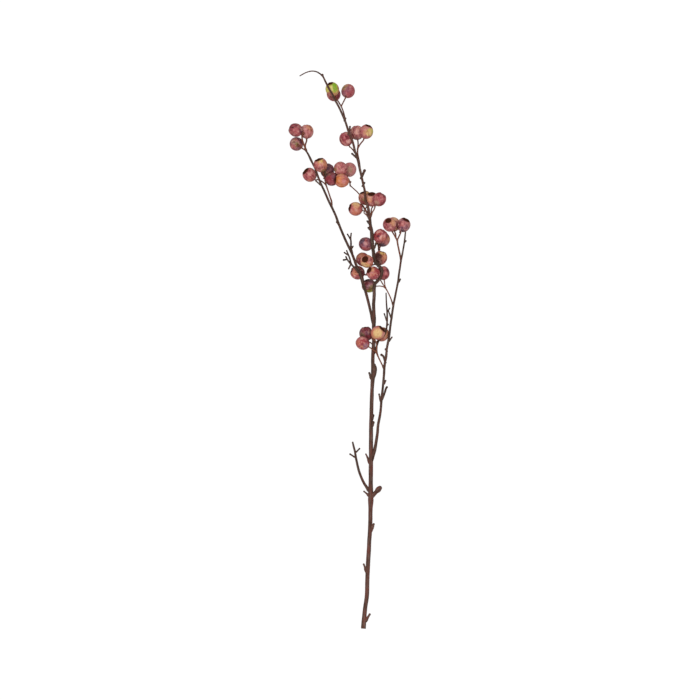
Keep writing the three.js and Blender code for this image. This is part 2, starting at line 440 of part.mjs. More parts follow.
/** Copies triangles without those that have shrunk to a line. */
function wholeTriangles(index) {
  const kept = [];
  for (let i = 0; i < index.count; i += 3) {
    const [a, b, c] = [index.getX(i), index.getX(i + 1), index.getX(i + 2)];
    if (a !== b && b !== c && c !== a) kept.push(a, b, c);
  }
  return kept;
}

/** A closed solid from a geometry. */
function toSolid(geometry) {
  geometry.deleteAttribute('normal');
  geometry.deleteAttribute('uv');
  const merged = mergeVertices(geometry, 1e-4);
  return new wasm.Manifold(new wasm.Mesh({
    numProp: 3,
    vertProperties: new Float32Array(merged.attributes.position.array),
    triVerts: new Uint32Array(wholeTriangles(merged.index)),
  }));
}

/** The geometry of a solid. */
function toGeometry(solid) {
  const mesh = solid.getMesh();
  const geometry = new THREE.BufferGeometry();
  geometry.setAttribute('position', new THREE.BufferAttribute(mesh.vertProperties, 3));
  geometry.setIndex(new THREE.BufferAttribute(mesh.triVerts, 1));
  geometry.computeVertexNormals();
  return geometry;
}

/** A circle of radius 1 mm with straight sides. */
function unitCircle(sides) {
  const corners = [];
  for (let i = 0; i < sides; i += 1) {
    const angle = (2 * Math.PI * i) / sides;
    corners.push(new THREE.Vector2(Math.cos(angle), Math.sin(angle)));
  }
  return new THREE.Shape(corners);
}

/** The radius at each ring of a limb, from the radii of its route. */
function ringRadii(path, steps, radii) {
  const rings = [];
  for (let i = 0; i <= steps; i += 1) {
    const along = path.getUtoTmapping(i / steps) * (radii.length - 1);
    const before = Math.min(Math.floor(along), radii.length - 2);
    rings.push(THREE.MathUtils.lerp(radii[before], radii[before + 1], along - before));
  }
  return rings;
}

/** Moves each corner of a 1 mm tube out or in, to the radius of its ring. */
function taper(geometry, centres, radii) {
  const corners = geometry.attributes.position;
  const corner = new THREE.Vector3();
  for (let i = 0; i < corners.count; i += 1) {
    corner.fromBufferAttribute(corners, i);
    let nearest = 0;
    for (let ring = 1; ring < centres.length; ring += 1) {
      if (corner.distanceToSquared(centres[ring]) < corner.distanceToSquared(centres[nearest])) {
        nearest = ring;
      }
    }
    corner.sub(centres[nearest]).multiplyScalar(radii[nearest]).add(centres[nearest]);
    corners.setXYZ(i, corner.x, corner.y, corner.z);
  }
}

/** A round limb along a route, grown by a margin all round. */
function limb(route, { sides, step }, margin = 0) {
  const path = new THREE.CatmullRomCurve3(route.map(({ point }) => point), false, 'centripetal');
  path.arcLengthDivisions = 20 * route.length;
  const steps = Math.max(2, Math.round(path.getLength() / step));
  const geometry = new THREE.ExtrudeGeometry(unitCircle(sides), {
    steps,
    extrudePath: path,
    bevelEnabled: false,
  });
  const radii = route.map(({ radius }) => radius + margin);
  taper(geometry, path.getSpacedPoints(steps), ringRadii(path, steps, radii));
  return toSolid(geometry);
}

/** Joins limbs into one solid. */
function join(limbs) {
  return limbs.reduce((whole, next) => whole.add(next));
}

/** The largest of the separate pieces of a solid. */
function largest(solid) {
  return solid.decompose().reduce((most, next) => (next.volume() > most.volume() ? next : most));
}

/** Cuts the foot of a limb to the round surface of the wooden limb that carries it. */
function seatOn(solid, carrier, make) {
  return largest(solid.subtract(limb(routePoints(carrier), make, SEAT_GAP)));
}

/** How the wooden limb with this route is made. */
function makeOf(route) {
  return Object.values(WOOD).find((wood) => wood.route === route).make;
}

/** The outline of half a berry, from its stalk end to the sunken calyx. */
function berryOutline(size) {
  const outline = [new THREE.Vector2(0, -BERRY_HALF_LENGTH)];
  for (const latitude of [-58, -28, 2, 32, 58]) {
    const angle = THREE.MathUtils.degToRad(latitude);
    outline.push(new THREE.Vector2(
      BERRY_RADIUS * Math.cos(angle),
      BERRY_HALF_LENGTH * Math.sin(angle),
    ));
  }
  const calyxFloor = BERRY_HALF_LENGTH - CALYX_DEPTH;
  outline.push(new THREE.Vector2(CALYX_RADIUS, calyxFloor - 1));
  outline.push(new THREE.Vector2(0, calyxFloor - 1.4));
  return outline.map((point) => point.multiplyScalar(size));
}

/** A berry at its place, with its axis turned to where its calyx points. */
function berryMesh(name, { at, calyx, skin, size = 1 }) {
  const shape = toGeometry(toSolid(new THREE.LatheGeometry(berryOutline(size), BERRY_SIDES)));
  const mesh = new THREE.Mesh(shape, new THREE.MeshStandardMaterial(SKINS[skin]));
  const axis = new THREE.Vector3(...calyx).normalize();
  mesh.name = name;
  mesh.quaternion.setFromUnitVectors(new THREE.Vector3(0, 1, 0), axis);
  const lies = at.length === 2;
  mesh.position.copy(place([...at, lies ? 0 : at[2]]));
  if (lies) mesh.position.z -= new THREE.Box3().setFromObject(mesh, true).min.z;
  return mesh;
}

/** The straight end of a stalk in front of the foot of its berry. */
function stalkEnd(berry, radius) {
  const outward = new THREE.Vector3(0, -1, 0).applyQuaternion(berry.quaternion);
  const reach = BERRY_HALF_LENGTH * (BERRIES[berry.name].size ?? 1) + BERRY_GAP;
  return [reach + STALK_LEAD, reach].map((distance) => ({
    point: berry.position.clone().addScaledVector(outward, distance),
    radius,
  }));
}

/** One stalk of a group, up to its berry where it has one. */
function stalk({ rows, berry }, berries) {
  const route = routePoints(rows);
  if (berry) route.push(...stalkEnd(berries[berry], rows.at(-1)[3]));
  return limb(route, STALK);
}

/** A wooden limb with all that grows from it, seated on what carries it. */
function woodMesh(name, { route, stubs, knob, make, seat }) {
  const limbs = stubs.map((rows) => limb(routePoints(rows), STUB));
  if (knob) limbs.push(limb(routePoints(knob), KNOB_SPUR));
  let solid = join([limb(routePoints(route), make), ...limbs]);
  if (seat) solid = seatOn(solid, seat, makeOf(seat));
  const look = make === TWIG ? TWIG_BARK : BARK;
  const mesh = new THREE.Mesh(toGeometry(solid), new THREE.MeshStandardMaterial(look));
  mesh.name = name;
  return mesh;
}

/** A group of stalks as one grown piece. */
function stalkMesh(name, { seat, routes }, berries) {
  let solid = join(routes.map((route) => stalk(route, berries)));
  if (seat) solid = seatOn(solid, seat, makeOf(seat));
  const mesh = new THREE.Mesh(toGeometry(solid), new THREE.MeshStandardMaterial(STALK_SKIN));
  mesh.name = name;
  return mesh;
}

const branch = new THREE.Group();
for (const [name, wood] of Object.entries(WOOD)) branch.add(woodMesh(name, wood));

const berries = {};
for (const [name, berry] of Object.entries(BERRIES)) {
  berries[name] = berryMesh(name, berry);
  branch.add(berries[name]);
}
for (const [name, group] of Object.entries(STALKS)) branch.add(stalkMesh(name, group, berries));

// The origin is moved to the middle of the bounding box, on the surface
const box = new THREE.Box3().setFromObject(branch, true);
const middle = box.getCenter(new THREE.Vector3());
branch.position.set(-middle.x, -middle.y, -box.min.z);
branch.updateMatrixWorld(true);

export default branch;
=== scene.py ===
"""The looks of a cut hawthorn branch with berries, lying on a pale floor, seen from straight above.

Lengths are in millimetres up to the making of each mesh, and in metres in the scene.
"""
import math
import random
from collections import namedtuple

import bpy
import numpy as np
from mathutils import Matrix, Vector, noise
from mathutils.kdtree import KDTree


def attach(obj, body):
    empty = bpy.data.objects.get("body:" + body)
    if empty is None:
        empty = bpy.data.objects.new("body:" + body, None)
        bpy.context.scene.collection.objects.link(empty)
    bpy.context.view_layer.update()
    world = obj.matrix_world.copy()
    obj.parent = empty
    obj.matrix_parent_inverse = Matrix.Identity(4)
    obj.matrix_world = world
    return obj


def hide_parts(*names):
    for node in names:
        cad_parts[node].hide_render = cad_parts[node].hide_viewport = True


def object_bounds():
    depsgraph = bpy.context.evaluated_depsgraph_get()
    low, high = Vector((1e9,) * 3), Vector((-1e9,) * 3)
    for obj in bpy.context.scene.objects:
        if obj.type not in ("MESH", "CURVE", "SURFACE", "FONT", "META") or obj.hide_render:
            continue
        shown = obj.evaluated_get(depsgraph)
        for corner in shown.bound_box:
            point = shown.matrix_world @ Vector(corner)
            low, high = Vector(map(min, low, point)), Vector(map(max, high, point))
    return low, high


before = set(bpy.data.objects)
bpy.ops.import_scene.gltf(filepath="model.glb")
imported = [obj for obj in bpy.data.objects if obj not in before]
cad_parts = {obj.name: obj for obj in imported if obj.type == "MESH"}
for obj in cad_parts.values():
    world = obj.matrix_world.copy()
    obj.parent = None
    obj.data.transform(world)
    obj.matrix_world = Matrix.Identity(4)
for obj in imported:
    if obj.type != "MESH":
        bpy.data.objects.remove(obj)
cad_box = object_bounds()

# From the picture's pixels to the frame, as in the CAD model
MM_PER_PIXEL = 798 / (629 - 70.4)
ORIGIN_COLUMN = 355.5
ORIGIN_ROW = 349.6
MIDDLE = (8.4855, 0.1473)      # how far the middle of the box lies from that origin, mm

# Berries
BERRY_RADIUS = 9.8
BERRY_HALF_LENGTH = 10.5
BERRY_GAP = 0.3
STALK_LEAD = 2.3

# How much brighter than its own colour the light shows a surface that faces it
GAIN = 1.25

# The limbs, as rows with a comma between them: a place in the picture by column and row, its height
# in mm and the limb's radius there in mm. The main stem runs from the cut end to the hooked tip.
LIMBS = {
    "main_stem": """
363.4 628.6 3.5 3.5, 365.1 608.1 4.7 3.08, 366.8 597.1 5.3 3.08, 367.5 574.5 7 3.07, 368.8 550.6 8.7
3.12, 369.2 543 9.2 3.01, 370.2 525.7 10.4 3.06, 370.5 509.7 11.6 3.12, 370.8 500 12.4 4.04, 370.7
493.8 12.8 3.69, 370.8 481 13.8 3.13, 370.9 468 14.7 3.13, 371 449 16.1 3.07, 371 436 17 3.06, 371.1
424 17.9 2.89, 371.4 410.9 18.8 2.78, 371.8 397.9 19.8 2.77, 372.1 388.6 20.5 2.65, 372.6 380.9 21
2.87, 373.3 372.8 21.6 3.41, 372.8 363 22.3 2.65, 373.1 351.1 23.2 2.58, 373.8 341.3 23.9 2.57,
373.8 327.3 25 2.75, 373.9 319.7 25.6 3.1, 373.8 310.5 26.2 2.42, 373.6 303.9 26.7 2.42, 374.2 295
27.3 2.42, 374.3 288 27.8 2.42, 375.2 283.5 28.1 2.3, 377.1 281.6 28.3 2.3, 379.7 278.2 28.6 2.31,
381.2 274.6 28.9 2.31, 381.8 270.8 29.1 2.31, 380.5 267.8 29.3 2.31, 378.6 265.5 29.4 2.31, 375.8
263 29.6 2.31, 373.9 258 30 2.43, 373.4 252 30.4 2.44, 372.6 245.9 30.9 2.57, 371.9 237.9 31.5 2.65,
371.9 234.6 31.7 2.72, 371.3 229.5 32.1 2.55, 370.3 225 32.4 2.33, 369.7 218.5 32.9 2.22, 368.7
210.6 33.5 2.06, 367.4 205.5 33.9 1.9, 365.5 200.5 34.4 1.72, 365.1 196.4 34.7 1.67, 364.5 190 35.1
1.62, 363.4 185.2 35.4 1.69, 361.4 176.2 35.9 1.76, 360 170.2 36.3 1.82, 358.2 162 36.8 1.71, 354.6
149.5 37.3 1.65, 352.8 142.3 37.6 1.66, 348.7 131.7 37.9 1.74, 345.1 121 38.1 1.57, 341.2 112 38.3
1.52, 337.7 104.8 38.4 1.5, 335.2 100.5 38.5 1.53, 331.7 93.3 38.6 1.51, 328.6 88 38.5 1.48, 325.4
81.7 38.4 1.39, 322.8 76.5 38 1.21, 319.1 73.3 37.7 1.08, 315.5 71.6 37.3 1.01, 311.1 71.3 36.8
0.94, 306.6 72.5 36.2 0.86, 303 74.2 35.6 0.79, 299.9 76 35 0.71
""",
    "left_branch": """
373.5 323.3 25.3 1.79, 372.1 316.7 25.6 1.95, 370.5 310.9 25.6 1.95, 368.8 303.9 25.5 2.02, 365.4
291.1 25.2 2.07, 363.2 284.7 25 2.24, 361.9 278.3 24.8 2.69, 359.4 271.9 24.4 2.46, 356.9 266.9 24.1
2.02, 354.4 259.9 23.7 1.9, 351.9 253.5 23.4 1.79, 344.5 237.8 22.5 1.74, 338.2 222.5 21.6 1.79,
335.6 215.4 21.2 1.68, 331 205.5 20.6 1.79, 328.8 201.2 20.3 1.68, 325.3 193.2 19.9 1.57, 320 181.7
19 1.62, 317.3 174.6 18.5 1.57, 315.1 168.3 18.1 1.46, 312.8 163.8 17.9 1.46, 311.1 160.2 17.8 1.68,
308.4 154.6 17.6 1.4, 306.4 151.3 17.5 1.23
""",
    "right_branch": """
371.7 460.5 15.4 1.65, 372.8 456 15.4 2.1, 374.4 451 15.3 2.35, 376 442.8 15.2 2.15, 377.5 433 15.1
2.04, 378 425.9 15 1.93, 380.2 414.1 14.9 1.87, 380.9 407.7 14.9 1.81, 381.5 399.4 14.9 1.87, 382.5
390.9 14.8 1.76, 383.9 375.9 14.8 1.76, 384.5 366 14.8 1.81, 386.1 356.3 14.8 1.87, 386.8 348.8 14.8
1.65, 388.9 337.7 14.9 1.76, 390.4 325.9 15 1.59, 391.7 316.5 15.1 1.65, 393.7 303.7 15.2 1.54,
395.1 296.9 15.2 1.49, 396.5 289.6 15.2 1.43, 398.1 281.4 15.1 1.54, 399 273.9 15 1.43, 400.3 265.3
14.9 1.43, 401.1 259.9 14.8 1.49, 402 255.8 14.6 1.32, 403.2 249.5 14.3 1.21, 404.6 240.7 13.8 1.16,
405.3 233.4 13.2 1.04, 405.6 229.7 12.6 0.94
""",
    "lower_twig": """
369.9 491.5 12.9 1.73, 368.2 489.3 12.7 2, 364.3 483.6 12 1.93, 361.2 477.2 11.3 1.86, 358.9 470.8
10.6 1.8, 357.3 464.4 10 1.73, 356 458.1 9.4 1.73, 355.1 452.3 8.8 1.6, 353.8 447 8.4 1.47, 352.7
442.4 8 1.27
""",
    "inner_twig": """
373.8 353.6 22.9 1.26, 375.5 349.9 21.9 1.42, 376.8 345.7 21.4 1.37, 378.1 342 21.2 1.31, 379.8
339.4 21.1 1.31, 383.1 336.8 21.1 1.31, 385.3 332.6 21 1.37, 386.5 328.6 21 1.31, 387.1 322.2 20.8
1.31, 387.1 311.4 20.4 1.26, 386.6 306 20.2 1.16, 386.3 300.2 20 1.05, 386.1 293.2 19.7 0.95
""",
    "left_upper_twig": """
352.5 255.6 23.5 1.23, 351.8 251.1 25.5 1.4, 351.1 247.3 26 1.34, 351 242.4 26 1.34, 350.7 237.9 26
1.23, 351.2 233.4 26 1.12
""",
    "left_lower_twig": """
359.6 273.2 24.8 1.34, 357.7 270.6 26.2 1.4, 354.7 267.7 26.2 1.4, 351.6 264.5 25.6 1.34, 349.7
258.3 25.5 1.18, 348.2 254.5 25.4 1.12, 346.7 250.6 25.4 1.06
""",
}

# Spurs and buds that grow from each limb, with a semicolon between them
SPURS = {
    "main_stem": """
365.3 621.1 3.8 1.7, 367.5 618 4.5 1.65, 369.7 614.6 5.2 1.4; 367.4 573.2 7.1 1.85, 363.7 564.4 8.4
1.15; 370.2 532.2 10 1.7, 372.3 527.4 11 1.9, 373.7 524.3 11.6 1.26; 370.1 496.4 12.6 1.55, 364
491.5 12.9 1.08; 370.2 463.5 15 1.55, 367.8 458.1 15.4 1.4, 365.9 454.2 15.6 0.98; 371.9 425.9 17.9
1.61, 373.1 422.6 18 1.15; 371.9 418.9 18.3 1.49, 372.9 415.6 18.5 1.15; 372.3 379.9 21.1 1.76,
369.3 373.1 21.6 1.24; 373.5 377 21.4 2.2, 374.8 371.5 21.8 2.1, 375.1 368.2 22 1.8, 374.3 364.8
22.2 1; 370.3 224.5 32.4 1.24, 367.3 221.2 32.6 1.01; 371.2 230.4 32 1.24, 368.4 227.8 32.2 1.01;
372.9 249.5 30.6 1.4, 376.1 244.2 31 1.08; 362.4 186.2 35.3 1.33, 364.2 183 35.6 1.13; 361.1 178.2
35.8 2.02, 362.6 175 36 1.94, 364.5 170.7 36.3 1.86; 356.8 158 36.9 1.61, 352.1 153.8 37.2 1.24;
348.4 134.3 37.8 1.43, 349.6 130.3 38 1.33, 350 126.8 38.1 1.16; 344.3 120.8 38.6 1.24, 345.4 118.5
39 1.13; 323.9 78.9 38.2 1.16, 322.6 74.7 38 1.13
""",
    "left_branch": """
339.6 226 21.9 1.38, 337.1 221.9 22.2 0.98; 321 185.1 19.2 1.1, 316 181.1 19.4 0.98
""",
    "right_branch": """
380.8 401.6 14.9 1.49, 379.1 394.3 15.2 1.09; 382.2 399.4 14.9 1.5, 384.9 392.2 15.1 1.61, 386 388.6
15.2 1.55, 386.9 387.2 15.3 1.38; 384 383.9 14.8 1.06, 385.6 380.7 14.9 0.98; 385.5 362.5 14.8 1.84,
383.3 356.3 14.9 1.61, 381.5 354.9 15 1.59; 387.1 351.1 14.8 1.06, 385.8 349.4 15 0.98; 389 341.2
14.9 1.06, 391.9 337.3 15.1 0.98; 391.5 318.4 15.1 1.18, 388.2 310.6 15.3 0.98; 398.9 281.9 15.1
1.06, 400.3 279.3 15.2 0.98; 404.1 243.4 13.9 0.98, 405.9 240.9 14 0.98
""",
    "lower_twig": """
355.6 457.7 9.4 1.32, 350.1 454.2 9.6 1.09; 355.3 453 8.9 1.32, 359.5 448.7 9.1 1.09
""",
    "inner_twig": """
386.8 321.2 20.8 1.06, 384.3 313.8 21 0.98; 387 312.5 20.5 1.06, 389.6 308.3 20.6 0.98; 386.8 326.2
20.9 1.06, 388 324.4 21 0.98
""",
    "left_upper_twig": """
350.7 239.6 26 1.24, 347.5 234.3 26.1 0.98; 351.3 249.1 25.8 1.24, 352.9 246.4 26 0.98
""",
    "left_lower_twig": """
347.8 254.9 25.4 1.24, 344.4 252.6 25.5 0.98; 350.5 263.7 25.6 1.4, 347 259.1 25.7 1.24, 345.9 256.8
25.7 1.01; 347.2 259.4 25.7 1.3, 343.6 260 25.8 1.2; 350.5 265.1 25.6 1.24, 348.6 268.7 25.6 0.98
""",
}

# The round knob at the end of a short thick spur, low on the main stem
KNOB = """
371.2 497 12.6 2.9, 374.2 494 13.4 2.75, 376.1 492 14 2.8, 377.7 490.4 14.4 3.9, 378.9 489 14.7 4,
379.8 488.1 14.9 3.4
"""

# Each group of stalks: the limb that carries it, and its routes, with a semicolon between them.
# A route that ends at a berry names it; the others are the shared stalks between the forks.
STALKS = {
    "tip_stalks": ("main_stem", """
345.4 121.9 37.4 1.02, 344.7 117.8 35.5 1.02, 343.6 112.7 34 0.96, 342.2 108.7 32.5 0.9, 341.2 106.2
31 0.96; 341.2 106.2 31 0.9, 338.9 102.5 29 0.9, 336.6 98.8 26 0.9 > tip_berry_1; 338.9 102.5 29
0.84, 338.3 101.6 22 0.84, 337.4 100.8 17.5 0.84 > tip_berry_2; 341.2 106.2 31 0.9, 343.3 102.3 30.5
0.9, 345.2 98.9 28.5 0.9 > tip_berry_3
"""),
    "left_tip_stalks": ("left_branch", """
306.3 151 17.5 1.45, 306 150.3 17.5 1.38, 305.5 148.9 17.4 1.31; 305.5 148.9 17.4 1.18, 303.8 144.3
19 1.1, 302.3 139.6 20.3 1.1, 302.1 135.2 20.5 1.03 > left_tip_berry_1; 305.5 148.9 17.4 1.18, 305.2
145.7 17 1.1, 306.1 142.3 15.5 1.1, 307.4 139.6 13 1.03 > left_tip_berry_2; 306 150.3 17.5 1.1,
302.9 148.7 19.5 1.03, 299.9 146.4 21 1.03 > left_tip_berry_3
"""),
    "upper_stalk": ("main_stem", """
355 152.7 36.2 0.92, 352.8 149.8 33.5 0.86, 350.6 147.5 29 0.8, 349.4 146.5 25 0.8 > upper_berry_1
"""),
    "upper_right_stalks": ("main_stem", """
359.8 169.2 35.5 1.17, 359.4 163.2 33.2 1.17, 358.5 158.4 32 1.1, 357.6 153.1 30.5 1.04, 357.7 148.7
28.5 1.04; 357.7 148.7 28.5 0.98, 358.1 144.8 22 0.98, 358 141.3 14.5 0.9 > upper_berry_2; 357.7
148.7 28.5 0.98, 360.1 144.3 25.5 0.98, 362.5 140.2 22 0.98 > upper_berry_3
"""),
    "left_stalks": ("left_branch", """
331.4 206.5 20.8 1.01, 331.7 202.1 22 1.06, 330.3 197.6 22 1.01, 328 190.7 20.5 0.95, 325.9 184.7
18.5 1.01; 325.9 184.7 18.5 0.9, 325 179.9 17 0.9, 323.8 175.3 19 0.84 > left_berry_1; 325.9 184.7
18.5 0.9, 323.2 182.3 15.5 0.84, 319.8 180.2 14.5 0.84, 316.8 179.5 11.5 0.78 > left_berry_2; 325
179.9 17 0.84, 324.9 177.7 14.5 0.78 > left_berry_3; 326.9 187.5 19.7 0.84, 326 184.6 23.5 0.84 >
left_berry_4
"""),
    "middle_stalks": ("main_stem", """
368.9 216.6 32.8 1.3, 366.9 212.7 29.5 1.4, 364.9 209.3 24.5 1.35, 363.2 206.3 15.5 1.2, 361.2 203.7
4.4 1, 360.3 199.2 1.3 0.85, 359.5 194.7 2.4 0.8, 357.4 192 5 0.75, 354.1 189 8.5 0.75, 350.2 185.6
12.5 0.8; 349.7 182.1 13.5 0.75, 347.1 178.8 19 0.7, 345.1 176.3 25 0.7 > middle_berry_1; 350.2
185.6 12.5 0.85, 349.7 182.1 13.5 0.85, 348.7 178.8 14.5 0.8 > middle_berry_2; 350.2 185.6 12.5 0.8,
350.4 184.9 20 0.75, 349.9 183.8 28.5 0.75 > middle_berry_3; 364.9 209.3 24.5 0.8, 366.3 207.3 16
0.75, 367.2 205.4 11.5 0.7 > centre_berry_1
"""),
    "centre_stalks": ("main_stem", """
370.2 217.1 33.3 1.1, 371.4 213.7 34.5 1.1; 371.4 213.7 34.5 0.94, 371.3 210.6 31 0.88, 371.8 207.9
26.5 0.83 > centre_berry_2; 371.4 213.7 34.5 0.94, 373.8 210 37 0.88, 375 207.1 39 0.83 >
centre_berry_3
"""),
    "centre_left_stalk": ("main_stem", """
370 219.8 32.6 0.88, 366.5 215.1 29 0.83, 364.2 213 24.5 0.77 > centre_berry_4
"""),
    "right_stalks": ("right_branch", """
400.9 260.7 14.8 1.15, 400.2 255.9 15.2 1.22, 399 250.2 15.8 1.15, 397.8 244.5 16.3 1.15, 397.2
240.2 16.5 1.15; 397.2 240.2 16.5 1.03, 394.8 235.9 18.5 1.03, 392.3 231.8 21.5 0.96 >
right_berry_1; 395.9 237.9 17.5 0.96, 395.6 233.9 15.8 0.96 > right_berry_2; 397.2 240.2 16.5 1.03,
399 236.4 18.3 1.03, 400.8 232.1 21.3 0.96 > right_berry_3
"""),
    "inner_stalks": ("main_stem", """
378.9 266.6 28 0.97, 378.8 266 16.4 0.97, 379.2 264.2 10.8 0.97, 379.3 258.5 7.9 0.92, 379.2 252.9
8.9 1.2, 379 248.9 12 1.45; 379 248.9 12 1.4, 378.6 246.4 17 1.35, 377.6 243.9 22.5 1.2 >
inner_berry_1; 379.2 248.9 12 0.86 > inner_berry_2; 378.9 266.3 24 0.81 > fork_berry_3
"""),
    "inner_left_stalk": ("main_stem", """
372.3 247.7 30.5 0.8, 372.6 247.5 25.5 0.75 > inner_berry_3
"""),
    "fork_upper_stalks": ("main_stem", """
375.4 263.8 29 0.84, 372.8 265 26.8 0.84, 371.4 265 25.6 0.73 > fork_berry_1; 372.8 265 26.8 0.79,
369.5 266.2 23 0.79, 366.6 265.6 21.3 0.73 > fork_berry_2
"""),
    "fork_right_stalks": ("right_branch", """
393.3 305.9 15.2 0.95, 392.2 302.4 15.8 0.95, 391.1 299.2 16.3 0.89, 389.2 294.7 16.8 0.84, 387.3
290.9 17.2 0.84, 385.4 287.8 17.6 0.89; 385.4 287.8 17.6 0.79, 382.8 284 18 0.79, 380.9 280.8 20
0.79, 379.6 278.2 22.5 0.73 > fork_berry_4; 385.4 287.8 17.6 0.79, 384.8 284.3 18.3 0.79 >
fork_berry_5; 385.4 287.8 17.6 0.79, 382.8 286.6 17.5 0.79, 379.4 286 17.4 0.73 > fork_berry_7
"""),
    "fork_left_stalk": ("main_stem", """
377.1 280.9 27.2 0.84, 375.2 278.2 23.5 0.82, 371.5 275 17.5 0.85, 367.8 273.7 12 0.9, 366.6 273.5
9.9 0.9 > fork_berry_6
"""),
    "lower_stalks": ("right_branch", """
384.4 369.4 14.8 0.99, 383.1 366.5 15.3 0.99, 381.5 363.5 16.2 0.94, 379.1 358.7 18.2 0.94, 377.5
355.4 21.8 0.94, 376.3 352.4 25.3 0.94; 376.3 352.4 25.3 0.88, 374.5 350.7 26.9 0.88, 372.3 349.4
27.2 0.83 > lower_berry_1; 376.3 352.4 25.3 0.88, 376.6 348.2 27 0.88, 376.5 344.2 29 0.83, 375.5
341 31.8 0.83 > lower_berry_3; 379.1 358.7 18.2 0.94, 377.5 354.1 17.5 0.88, 376.8 350.6 16.8 0.88;
376.8 350.6 16.8 0.83, 374.7 347.4 16.2 0.83, 372.4 344.5 15 0.83, 369.7 342.2 12.3 0.77 >
lower_berry_2; 376.8 350.6 16.8 0.83, 377.1 346.2 15 0.83, 377.8 342.7 12.8 0.77 > lower_berry_4
"""),
}

